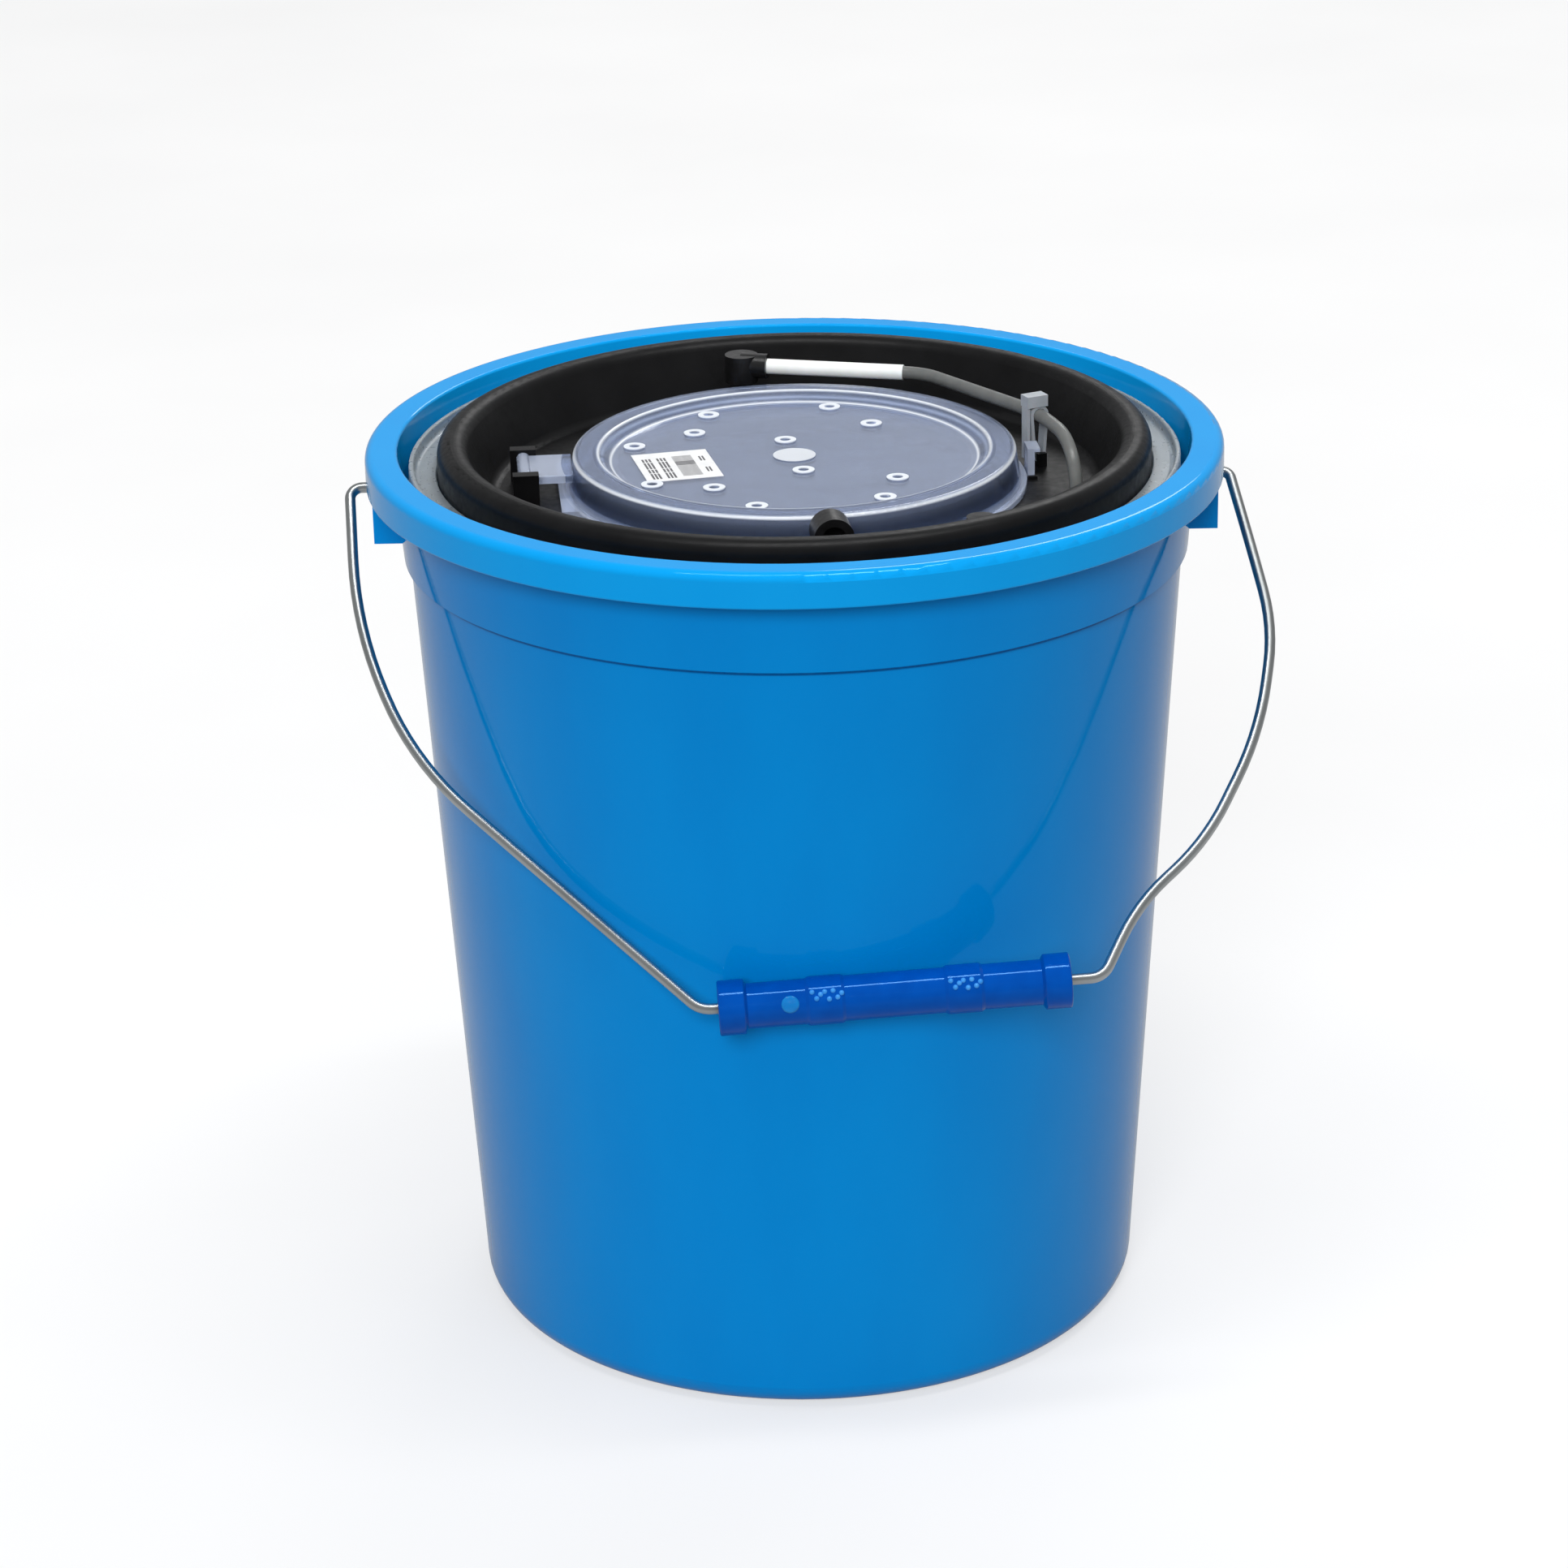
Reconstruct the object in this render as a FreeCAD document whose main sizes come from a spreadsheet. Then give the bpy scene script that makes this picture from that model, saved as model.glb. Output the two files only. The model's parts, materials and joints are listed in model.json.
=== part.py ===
import FreeCAD, Part
import math
import os
import re

import Sketcher
from FreeCAD import Placement, Rotation, Vector

# Aerated bait bucket: a pail with a swinging bail, a lift-out inner tub, a dished tray lid that
# nests in the tub, a clear vented hatch hinged in the tray, and an air line that runs from a
# socket elbow over the tray and through its deck to an air stone at the bottom of the tub.
# Millimetres. +Z is up, the origin is the centre of the pail's base, -Y is the front.

DRIVING_SIZES = [
    # pail
    ("rim_radius", 160.0, "outside of the rim band"),
    ("rim_height", 342.0, "top of the rim above the ground"),
    ("rim_width", 12.0, "top of the rim, outside to inside"),
    ("rim_corner", 3.2, "outer top edge of the rim"),
    ("band_height", 13.0, "rim band, top to lower edge"),
    ("wall", 2.2, "pail wall"),
    ("step_level", 300.0, "height of the step under the rim"),
    ("neck_inset", 12.8, "rim band's outside to the neck's outside just above the step"),
    ("step_rise", 1.4, "height of the step's slope"),
    ("step_width", 2.2, "how far the wall steps in under the neck"),
    ("base_radius", 128.0, "outside of the wall run down to the ground"),
    ("base_corner", 9.0, "outer corner of the base"),
    ("base_recess", 1.5, "recess in the underside"),
    ("base_pad_radius", 24.0, "flat pad in the middle of the underside"),
    ("foot_inner_radius", 104.0, "inside of the foot ring"),
    ("base_thickness", 2.6, "pail base"),
    ("rib_count", 24.0, "gussets under the rim"),
    ("rib_thickness", 1.6, "gusset"),
    ("ear_width", 26.0, "bail ear along the rim"),
    ("ear_inset", 2.4, "rim band's outside to the outer face of the bail ear"),
    ("ear_depth", 23.0, "bail ear below the rim band's lower edge"),
    ("ear_plate", 3.0, "outer plate of the bail ear"),
    # bail and grip
    ("bail_wire_radius", 2.0, "bail wire"),
    ("bail_pivot_level", 324.0, "height of the bail's pivot axis"),
    ("bail_drop", 210.9, "pivot axis to the grip's left end along the bail"),
    ("bail_grip_rise", 9.7, "how much nearer the pivot the grip's right end lies"),
    ("bail_rest_gap", 0.5, "grip to the pail wall it hangs against"),
    ("bail_left_gap", 7.0, "left leg centre line outside the rim"),
    ("bail_right_gap", 2.7, "right leg centre line outside the rim"),
    ("bail_head_radius", 3.4, "upset head on each wire end"),
    ("bail_head_height", 1.6, "upset head"),
    ("pin_clearance", 0.08, "radial clearance of a pin in its hole"),
    ("grip_length", 126.0, "grip end to end"),
    ("grip_offset", 32.2, "middle of the grip to the right of the pail's axis"),
    ("grip_run_left", 6.4, "straight wire left of the grip"),
    ("grip_run_right", 11.6, "straight wire right of the grip"),
    ("grip_radius", 8.25, "grip barrel"),
    ("grip_collar_radius", 10.0, "grip end collar"),
    ("grip_collar_length", 9.3, "grip end collar"),
    ("grip_band_radius", 8.9, "raised band on the barrel"),
    ("grip_band_length", 14.0, "raised band along the barrel"),
    ("grip_band_offset", 24.8, "grip centre to the centre of each band"),
    ("grip_bore_clearance", 0.4, "play of the grip on the wire"),
    ("grip_mouth_radius", 6.8, "hollow end of the grip"),
    ("grip_mouth_depth", 10.0, "hollow end of the grip"),
    # tub
    ("tub_gap", 1.2, "pail wall to tub wall at the base"),
    ("tub_rim_gap", 1.0, "pail neck to the tub's rim"),
    ("tub_wall", 2.0, "tub wall"),
    ("tub_top", 336.0, "top edge of the tub"),
    ("tub_flange", 10.2, "tub's rim, outside to inside"),
    ("tub_flange_depth", 4.0, "flange below the tub's top edge"),
    ("tub_seat_depth", 10.0, "tray seat below the tub's top edge"),
    ("tub_seat_width", 2.7, "ledge that carries the tray"),
    ("tub_corner", 7.0, "outer corner of the tub's base"),
    ("drain_radius", 3.5, "drain hole in the tub's base"),
    ("drain_inset", 33.0, "pail's base radius to the outer ring of drain holes"),
    ("drain_ring_inner", 52.0, "inner ring of drain holes"),
    ("drain_count_outer", 12.0, "holes in the outer ring"),
    ("drain_count_inner", 6.0, "holes in the inner ring"),
    ("seat_gap", 0.3, "clearance under a part that lifts off"),
    # tray lid
    ("tray_clearance", 0.5, "tray lip to tub rim"),
    ("tray_wall", 2.2, "tray lid"),
    ("lip_top", 344.0, "crown of the tray's rolled lip"),
    ("lip_width", 10.0, "rolled lip, outside to inside"),
    ("lip_roll", 5.2, "outer roll of the lip"),
    ("lip_inner_roll", 5.6, "inner roll of the lip"),
    ("deck_level", 322.0, "upper face of the tray's deck"),
    ("tray_slope", 9.8, "lip's inner edge to the foot of the sloping wall"),
    ("deck_corner", 4.0, "corner between deck and wall"),
    ("deck_width", 33.5, "deck, foot of the wall to the bait opening"),
    ("collar_depth", 6.0, "collar under the bait opening"),
    ("lid_turn", 5.0, "turn of hinge and catch about the axis"),
    # hatch
    ("hatch_lap", 7.0, "overlap of the hatch flange on the deck"),
    ("hatch_flange_height", 2.2, "hatch flange"),
    ("hatch_rim", 2.3, "flange beside the hatch wall"),
    ("hatch_lean", 1.9, "how far the hatch wall leans in"),
    ("hatch_ring_width", 9.4, "flat top of the raised ring"),
    ("hatch_ring_slope", 4.6, "slope from the ring down to the panel"),
    ("hatch_top", 337.0, "top of the raised ring"),
    ("hatch_panel_level", 333.2, "upper face of the recessed panel"),
    ("hatch_wall", 2.0, "hatch wall"),
    ("vent_radius", 2.0, "vent hole"),
    ("vent_collar_radius", 4.1, "collar round a vent hole"),
    ("vent_collar_height", 0.8, "collar round a vent hole"),
    ("vent_ring_inner", 19.0, "inner ring of vents"),
    ("vent_ring_middle", 48.0, "middle ring of vents"),
    ("vent_edge_gap", 2.9, "collars of the outer ring of vents to the panel's edge"),
    ("gate_radius", 8.0, "round boss in the middle of the panel"),
    ("gate_height", 0.6, "round boss in the middle of the panel"),
    # hinge and catch
    ("hinge_offset", 14.0, "pivot of the hatch outside its flange"),
    ("hinge_level", 332.4, "height of the hatch pivot"),
    ("tbar_radius", 2.6, "cross bar of the hinge strap"),
    ("tbar_length", 31.0, "cross bar of the hinge strap"),
    ("strap_width", 26.0, "hinge strap"),
    ("strap_thickness", 3.0, "hinge strap"),
    ("hinge_plate_width", 56.0, "straight plate on the flange at the hinge"),
    ("hinge_plate_edge", 1.5, "straight edge of that plate outside the flange"),
    ("ear_gap", 0.4, "strap to cradle ear"),
    ("cradle_ear_width", 5.2, "cradle ear"),
    ("cradle_length", 9.6, "cradle ear along the radius"),
    ("cradle_height", 14.0, "cradle ears above the deck"),
    ("cradle_plate", 2.0, "cradle foot plate"),
    ("catch_width", 10.0, "catch tongue"),
    ("catch_thickness", 2.6, "catch tongue"),
    ("catch_height", 11.0, "catch tongue"),
    ("catch_gap", 0.4, "catch tongue to its neighbours"),
    ("guard_width", 1.8, "low guard beside the catch"),
    ("guard_height", 1.2, "low guard beside the catch"),
    # air line
    ("line_radius", 2.5, "air tube outside"),
    ("line_bore", 1.5, "air tube inside"),
    ("stem_radius", 3.0, "rigid air stem outside"),
    ("stem_bore", 1.6, "rigid air stem inside"),
    ("stem_plug", 8.0, "depth of a push fit in the air line"),
    ("line_level", 339.0, "height of the stem's centre line"),
    ("inlet_inset", 10.0, "inlet elbow from the deck's edge"),
    ("inlet_angle", 101.3, "inlet elbow about the axis"),
    ("elbow_radius", 6.5, "head of the inlet elbow"),
    ("elbow_top", 343.4, "top of the inlet elbow"),
    ("elbow_reach", 10.6, "mouth of the inlet elbow's socket"),
    ("socket_radius", 4.9, "socket of the inlet elbow"),
    ("shank_radius", 4.0, "threaded shank through the deck"),
    ("shank_length", 11.0, "shank below the deck's upper face"),
    ("shank_clearance", 0.2, "shank in its hole"),
    ("air_bore", 2.0, "air way in the fittings"),
    ("flange_radius", 5.6, "flange of a fitting"),
    ("flange_height", 2.0, "flange of a fitting"),
    ("washer_height", 1.0, "rubber washer"),
    ("nut_flats", 12.0, "lock nut across flats"),
    ("nut_height", 4.0, "lock nut"),
    ("port_inset", 16.5, "hose port from the deck's edge"),
    ("port_angle", 277.5, "hose port about the axis"),
    ("port_radius", 7.3, "hose port outside"),
    ("port_bore", 4.4, "hose port mouth"),
    ("port_level", 335.0, "height of the hose port's axis"),
    ("port_front", 7.0, "mouth of the hose port beyond its shank"),
    ("port_back", 5.5, "rear of the hose port behind its shank"),
    ("port_depth", 9.6, "depth of the hose port's mouth"),
    ("peg_radius", 5.5, "moulded peg on the deck"),
    ("peg_height", 11.5, "moulded peg on the deck"),
    ("peg_inset", 12.0, "peg from the deck's edge"),
    ("peg_angle", 311.0, "peg about the axis"),
    ("bend_inset", 14.0, "air tube's corner at the stem, from the deck's edge"),
    ("bend_angle", 58.9, "air tube's corner at the stem, about the axis"),
    ("tie_inset", 18.8, "air tube's corner at the cable tie, from the deck's edge"),
    ("tie_angle", 12.3, "air tube's corner at the cable tie, about the axis"),
    ("tie_rise", 3.0, "air tube's corner at the cable tie, above the stem"),
    ("drop_inset", 7.5, "tube's hole in the deck from the deck's edge"),
    ("drop_angle", 349.5, "tube's hole in the deck about the axis"),
    ("stone_inset", 22.0, "air stone's axis from the pail's base radius"),
    ("grommet_radius", 4.8, "grommet flange"),
    ("grommet_neck", 3.6, "grommet in its hole"),
    ("grommet_height", 1.2, "grommet flange"),
    ("tie_width", 4.4, "cable tie strap"),
    ("tie_thickness", 1.2, "cable tie strap"),
    ("tie_bar_radius", 1.3, "bar that anchors the cable tie"),
    ("tie_bar_level", 326.0, "height of that bar"),
    ("stone_radius", 9.0, "air stone"),
    ("stone_height", 34.0, "air stone"),
    ("nipple_radius", 4.6, "foot of the air stone's nipple"),
    ("nipple_height", 3.0, "foot of the air stone's nipple"),
    ("barb_radius", 1.45, "barb inside the tube"),
]
ALIASES = [row[0] for row in DRIVING_SIZES]

FRONT_VENTS = 6        # vents of the outer ring, 45 degrees apart, none beside the catch
BARREL_TAPER = 1.2     # slope at each edge of a raised grip band
DRAIN_CUT = 12.0       # how far the drain holes are cut upwards

doc = FreeCAD.newDocument("BaitBucket")
sheet = doc.addObject("Spreadsheet::Sheet", "Sizes")
for row_number, (alias, value, meaning) in enumerate(DRIVING_SIZES, start=1):
    sheet.set("A%d" % row_number, meaning)
    sheet.set("B%d" % row_number, str(value))
    sheet.setAlias("B%d" % row_number, alias)
doc.recompute()


# ---------------------------------------------------------------- expressions

def ref(text):
    """The expression with every size name pointed at its cell in the sheet."""
    return re.sub(r"[a-z][a-z_]*", lambda word: "Sizes." + word.group() if word.group() in ALIASES
                  else word.group(), text)


def size(text):
    """The value of an expression in size names."""
    return float(sheet.evalExpression(ref(text)))


def bind(item, **expressions):
    for name, text in expressions.items():
        item.setExpression(name, ref(text))


def at(x="0", y="0", z="0", axis="0; 0; 1", angle="0"):
    """Placement expression: a point, and a turn about an axis through it."""
    return "placement(vector(%s; %s; %s); rotation(vector(%s); %s))" % (x, y, z, axis, angle)


def polar(reach, angle, z="0"):
    """Placement expression: out from the axis at an angle, with local X pointing outwards."""
    return at("(%s) * cos((%s) * 1 deg)" % (reach, angle), "(%s) * sin((%s) * 1 deg)" % (reach, angle),
              z, angle=angle)


ALONG_X = dict(axis="0; 1; 0", angle="90")
ALONG_Y = dict(axis="1; 0; 0", angle="-90")


# ---------------------------------------------------------------- primitives and booleans

def cylinder(name, radius, height, place=None):
    item = doc.addObject("Part::Cylinder", name)
    bind(item, Radius=radius, Height=height)
    if place:
        bind(item, Placement=place)
    return item


def box(name, length, width, height, place):
    item = doc.addObject("Part::Box", name)
    bind(item, Length=length, Width=width, Height=height, Placement=place)
    return item


def cone(name, radius_low, radius_high, height, place=None):
    item = doc.addObject("Part::Cone", name)
    bind(item, Radius1=radius_low, Radius2=radius_high, Height=height)
    if place:
        bind(item, Placement=place)
    return item


def fuse(name, shapes, place=None):
    item = doc.addObject("Part::MultiFuse", name)
    item.Shapes = shapes
    item.Refine = True
    if place:
        bind(item, Placement=place)
    return item


def cut(name, base, tools, place=None):
    tool = tools[0] if len(tools) == 1 else fuse(name + "_tools", tools)
    item = doc.addObject("Part::Cut", name)
    item.Base = base
    item.Tool = tool
    item.Refine = True
    if place:
        bind(item, Placement=place)
    return item


# ---------------------------------------------------------------- sketches and bodies

def origin_feature(body, role):
    return [item for item in body.Origin.OriginFeatures if item.Role == role][0]


def pin_point(sketch, geometry, end, x_text, y_text):
    """Fix a sketch point by its distances from the sketch's origin."""
    if x_text == "0":
        sketch.addConstraint(Sketcher.Constraint("PointOnObject", geometry, end, -2))
    else:
        index = sketch.addConstraint(Sketcher.Constraint("DistanceX", -1, 1, geometry, end, size(x_text)))
        sketch.setExpression("Constraints[%d]" % index, ref(x_text))
    if y_text == "0":
        sketch.addConstraint(Sketcher.Constraint("PointOnObject", geometry, end, -1))
    else:
        index = sketch.addConstraint(Sketcher.Constraint("DistanceY", -1, 1, geometry, end, size(y_text)))
        sketch.setExpression("Constraints[%d]" % index, ref(y_text))


def corner_points(before, corner, after, radius):
    """Where a round corner leaves its two sides, and the centre of its arc."""
    back = (before - corner).normalize()
    ahead = (after - corner).normalize()
    half = math.acos(max(-1.0, min(1.0, back.dot(ahead)))) / 2
    reach = radius / math.tan(half)
    middle = (back + ahead).normalize()
    return corner + back * reach, corner + ahead * reach, corner + middle * (radius / math.sin(half))


def outline_sketch(body, name, role, outline):
    """A closed outline of lines, each corner (x, y) or (x, y, radius) fixed by expressions."""
    sketch = body.newObject("Sketcher::SketchObject", name)
    sketch.AttachmentSupport = (origin_feature(body, role), [""])
    sketch.MapMode = "FlatFace"
    points = [Vector(size(corner[0]), size(corner[1]), 0) for corner in outline]
    count = len(outline)
    leaving, arriving, centres = list(points), list(points), [None] * count
    for index, corner in enumerate(outline):
        if len(corner) == 3:
            arriving[index], leaving[index], centres[index] = corner_points(
                points[index - 1], points[index], points[(index + 1) % count], size(corner[2]))
    lines = [sketch.addGeometry(Part.LineSegment(leaving[index], arriving[(index + 1) % count]), False)
             for index in range(count)]
    for index, corner in enumerate(outline):
        incoming, outgoing = lines[index - 1], lines[index]
        if len(corner) == 2:
            sketch.addConstraint(Sketcher.Constraint("Coincident", incoming, 2, outgoing, 1))
            pin_point(sketch, outgoing, 1, corner[0], corner[1])
        else:
            round_corner(sketch, incoming, outgoing, corner, points[index],
                         arriving[index], leaving[index], centres[index])
    return sketch


def round_corner(sketch, incoming, outgoing, corner, point, start, end, centre):
    """A tangent arc between two lines whose sharp corner stays fixed."""
    middle = centre + (point - centre).normalize() * (start - centre).Length
    arc = sketch.addGeometry(Part.Arc(start, middle, end), False)
    turns_left = (start - centre).cross(end - centre).z > 0
    first, last = (1, 2) if turns_left else (2, 1)
    sketch.addConstraint(Sketcher.Constraint("Tangent", incoming, 2, arc, first))
    sketch.addConstraint(Sketcher.Constraint("Tangent", arc, last, outgoing, 1))
    index = sketch.addConstraint(Sketcher.Constraint("Radius", arc, size(corner[2])))
    sketch.setExpression("Constraints[%d]" % index, ref(corner[2]))
    sharp = sketch.addGeometry(Part.Point(point), True)
    sketch.addConstraint(Sketcher.Constraint("PointOnObject", sharp, 1, incoming))
    sketch.addConstraint(Sketcher.Constraint("PointOnObject", sharp, 1, outgoing))
    pin_point(sketch, sharp, 1, corner[0], corner[1])


def revolved_body(name, outline):
    """A body turned about Z from an outline of (radius, height[, corner radius])."""
    body = doc.addObject("PartDesign::Body", name)
    sketch = outline_sketch(body, name + "_outline", "XZ_Plane", outline)
    revolution = body.newObject("PartDesign::Revolution", name + "_revolution")
    revolution.Profile = (sketch, [""])
    revolution.ReferenceAxis = (sketch, ["V_Axis"])
    revolution.Angle = 360
    sketch.Visibility = False
    body.Tip = revolution
    return body


def repeat_round(body, feature, count):
    """Polar pattern of a feature about the body's Z axis."""
    pattern = body.newObject("PartDesign::PolarPattern", feature.Name + "_ring")
    pattern.Originals = [feature]
    pattern.Axis = (origin_feature(body, "Z_Axis"), [""])
    pattern.Angle = 360
    bind(pattern, Occurrences=count)
    body.Tip = pattern


# ---------------------------------------------------------------- lines shared by several parts

STEP_RADIUS = "(rim_radius - neck_inset)"
SHOULDER = "(rim_radius - neck_inset - step_width)"
EAR_FACE = "(rim_radius - ear_inset)"
WALL_SLOPE = "((%s - base_radius) / step_level)" % SHOULDER
FLOOR_TOP = "(base_recess + base_thickness)"
TUB_FOOT = "(base_recess + base_thickness + seat_gap)"
TRAY_SEAT = "(tub_top - tub_seat_depth)"
TUB_RIM = "(%s - wall - tub_rim_gap)" % STEP_RADIUS
TUB_BORE = "(%s - tub_flange)" % TUB_RIM
TRAY_RADIUS = "(%s - tray_clearance)" % TUB_BORE
LIP_INNER = "(%s - lip_width)" % TRAY_RADIUS
DECK_RADIUS = "(%s - tray_slope)" % LIP_INNER
OPENING = "(%s - deck_width)" % DECK_RADIUS
TRAY_LEAN = "(tray_slope / (lip_top - deck_level))"
DECK_UNDER = "(deck_level - tray_wall)"
HATCH_FLANGE = "(%s + hatch_lap)" % OPENING
HATCH_WALL_FOOT = "(%s - hatch_rim)" % HATCH_FLANGE
RING_OUTER = "(%s - hatch_lean)" % HATCH_WALL_FOOT
RING_INNER = "(%s - hatch_ring_width)" % RING_OUTER
PANEL_RADIUS = "(%s - hatch_ring_slope)" % RING_INNER
HINGE_REACH = "(%s + hinge_offset)" % HATCH_FLANGE
INLET_REACH = "(%s - inlet_inset)" % DECK_RADIUS
PORT_REACH = "(%s - port_inset)" % DECK_RADIUS
DROP_REACH = "(%s - drop_inset)" % DECK_RADIUS
STONE_REACH = "min(%s - drop_inset; base_radius - stone_inset)" % DECK_RADIUS
RIM_INNER = "(rim_radius - rim_width)"
BAND_LOW = "(rim_height - band_height)"
HATCH_FOOT = "(deck_level + seat_gap)"


def pail_outer(z):
    return "(base_radius + %s * (%s))" % (WALL_SLOPE, z)


def pail_inner(z):
    return "(%s - wall)" % pail_outer(z)


TUB_FOOT_RADIUS = "(%s - tub_gap)" % pail_inner(TUB_FOOT)
TUB_NECK = "(%s - tub_seat_width + tub_wall)" % TUB_BORE
TUB_NECK_LEVEL = "(%s - tub_wall)" % TRAY_SEAT


# ---------------------------------------------------------------- pail

def bail_lean():
    """Angle from the vertical at which the grip's raised band meets the pail's wall."""
    drop = size("bail_drop - bail_grip_rise / 4")
    lean = math.radians(45)
    for step in range(20):
        level = size("bail_pivot_level") - drop * math.cos(lean)
        reach = size(pail_outer(str(level)) + " + grip_band_radius + bail_rest_gap")
        lean = math.asin(reach / drop)
    return lean


LEAN = bail_lean()


def make_outer_bucket():
    shell = revolved_body("pail_shell", [
        ("0", "0"),
        ("base_pad_radius", "0"),
        ("base_pad_radius", "base_recess"),
        ("foot_inner_radius", "base_recess"),
        ("foot_inner_radius", "0"),
        ("base_radius", "0", "base_corner"),
        (SHOULDER, "step_level"),
        (STEP_RADIUS, "step_level + step_rise"),
        ("%s + wall" % RIM_INNER, "rim_height - wall"),
        ("rim_radius - wall", "rim_height - wall"),
        ("rim_radius - wall", BAND_LOW),
        ("rim_radius", BAND_LOW, "wall / 3"),
        ("rim_radius", "rim_height", "rim_corner"),
        (RIM_INNER, "rim_height", "wall / 2"),
        ("%s - wall" % STEP_RADIUS, "step_level + step_rise"),
        ("%s - wall" % SHOULDER, "step_level"),
        (pail_inner(FLOOR_TOP), FLOOR_TOP, "base_corner - wall"),
        ("0", FLOOR_TOP),
    ])
    add_rim_gussets(shell)
    ears = [bail_ear("ear_right", "0"), bail_ear("ear_left", "180")]
    bucket = fuse("outer_bucket", [shell] + ears)
    return bucket


def add_rim_gussets(shell):
    """Thin plates that tie the rim band to the neck, hidden behind the band."""
    sketch = outline_sketch(shell, "gusset_outline", "XZ_Plane", [
        ("%s + wall / 2" % STEP_RADIUS, "%s + band_height / 4" % BAND_LOW),
        ("rim_radius - wall / 2", "%s + band_height / 4" % BAND_LOW),
        ("rim_radius - wall / 2", "rim_height - wall / 2"),
        ("%s + wall / 2" % RIM_INNER, "rim_height - wall / 2"),
    ])
    gusset = shell.newObject("PartDesign::Pad", "gusset")
    gusset.Profile = (sketch, [""])
    gusset.Midplane = True
    bind(gusset, Length="rib_thickness")
    sketch.Visibility = False
    repeat_round(shell, gusset, "rib_count")


def bail_ear(name, side):
    """Hollow box under the rim band; its outer plate carries one end of the bail."""
    low = "(%s - ear_depth)" % BAND_LOW
    inside = "%s - wall" % SHOULDER
    block = box(name + "_block", "%s - (%s)" % (EAR_FACE, inside), "ear_width", "ear_depth + wall",
                at(inside, "-ear_width / 2", low))
    hollow = box(name + "_hollow", "%s - ear_plate - (%s)" % (EAR_FACE, inside),
                 "ear_width - 2 * wall", "ear_depth", at(inside, "-ear_width / 2 + wall", low))
    core = cone(name + "_core", "%s - wall / 2" % STEP_RADIUS, "%s + wall / 2" % RIM_INNER,
                "rim_height - step_level", at(z="step_level"))
    hole = cylinder(name + "_hole", "bail_wire_radius + pin_clearance", "3 * ear_plate",
                    at("%s - 2 * ear_plate" % EAR_FACE, "0", "bail_pivot_level", **ALONG_X))
    return cut(name, block, [hollow, core, hole], at(angle=side))


# ---------------------------------------------------------------- bail and grip

def bail_point(across, down):
    """A point of the hanging bail: along the pivot axis, and down the bail from it."""
    lean = LEAN
    return Vector(across, -down * math.sin(lean), size("bail_pivot_level") - down * math.cos(lean))


def rounded_path(points, radii):
    """Straight runs joined by tangent arcs, one radius per inner point."""
    edges = []
    start = points[0]
    for index, radius in enumerate(radii, start=1):
        corner = points[index]
        first, last, centre = corner_points(points[index - 1], corner, points[index + 1], radius)
        middle = centre + (corner - centre).normalize() * radius
        if (first - start).Length > 1e-6:
            edges.append(Part.LineSegment(start, first).toShape())
        edges.append(Part.Arc(first, middle, last).toShape())
        start = last
    edges.append(Part.LineSegment(start, points[-1]).toShape())
    return Part.Wire(edges)


def open_radii(points, tight):
    """Bend radii as large as fit between the corners, apart from the tight ones given by number."""
    radii = []
    for index in range(1, len(points) - 1):
        back = points[index] - points[index - 1]
        ahead = points[index + 1] - points[index]
        reach = 0.48 * min(back.Length, ahead.Length)
        radii.append(tight.get(index, reach / math.tan(back.getAngle(ahead) / 2)))
    return radii


def pipe(path, start, direction, radius):
    profile = Part.Wire(Part.makeCircle(radius, start, direction))
    return path.makePipeShell([profile], True, True)


def bail_grip_ends():
    """The two bends beside the grip, in the bail's own across and down measures."""
    left = size("grip_offset - grip_length / 2 - grip_run_left")
    right = size("grip_offset + grip_length / 2 + grip_run_right")
    return (left, size("bail_drop")), (right, size("bail_drop - bail_grip_rise"))


def make_bail_wire():
    """Bent wire; its corners are given outside the rim and as shares of the bail's drop."""
    rim = size("rim_radius")
    down = size("bail_drop")
    head = size("%s - ear_plate - seat_gap - bail_head_height" % EAR_FACE)
    left = rim + size("bail_left_gap")
    right = rim + size("bail_right_gap")
    grip_left, grip_right = bail_grip_ends()
    route = [
        (-head, 0.0),
        (-left, 0.0),
        (-rim - 0.015 * down, 0.275 * down),
        (-rim + 0.090 * down, 0.536 * down),
        grip_left,
        grip_right,
        (grip_right[0] + 0.064 * down, 0.823 * down),
        (grip_right[0] + 0.187 * down, 0.709 * down),
        (rim + 0.038 * down, 0.507 * down),
        (rim + 0.0735 * down, 0.308 * down),
        (rim + 0.045 * down, 0.1565 * down),
        (right, 0.0),
        (head, 0.0),
    ]
    tight = {number: share * size("bail_wire_radius")
             for number, share in ((1, 2.25), (4, 5.0), (5, 4.0), (11, 1.8))}
    points = [bail_point(across, drop) for across, drop in route]
    wire = pipe(rounded_path(points, open_radii(points, tight)), points[0], Vector(1, 0, 0),
                size("bail_wire_radius"))
    heads = [Part.makeCylinder(size("bail_head_radius"), size("bail_head_height"),
                               bail_point(side * head, 0.0), Vector(side, 0, 0)) for side in (-1, 1)]
    bail = doc.addObject("Part::Feature", "bail_wire")
    bail.Shape = wire.fuse(heads).removeSplitter()
    return bail


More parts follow.
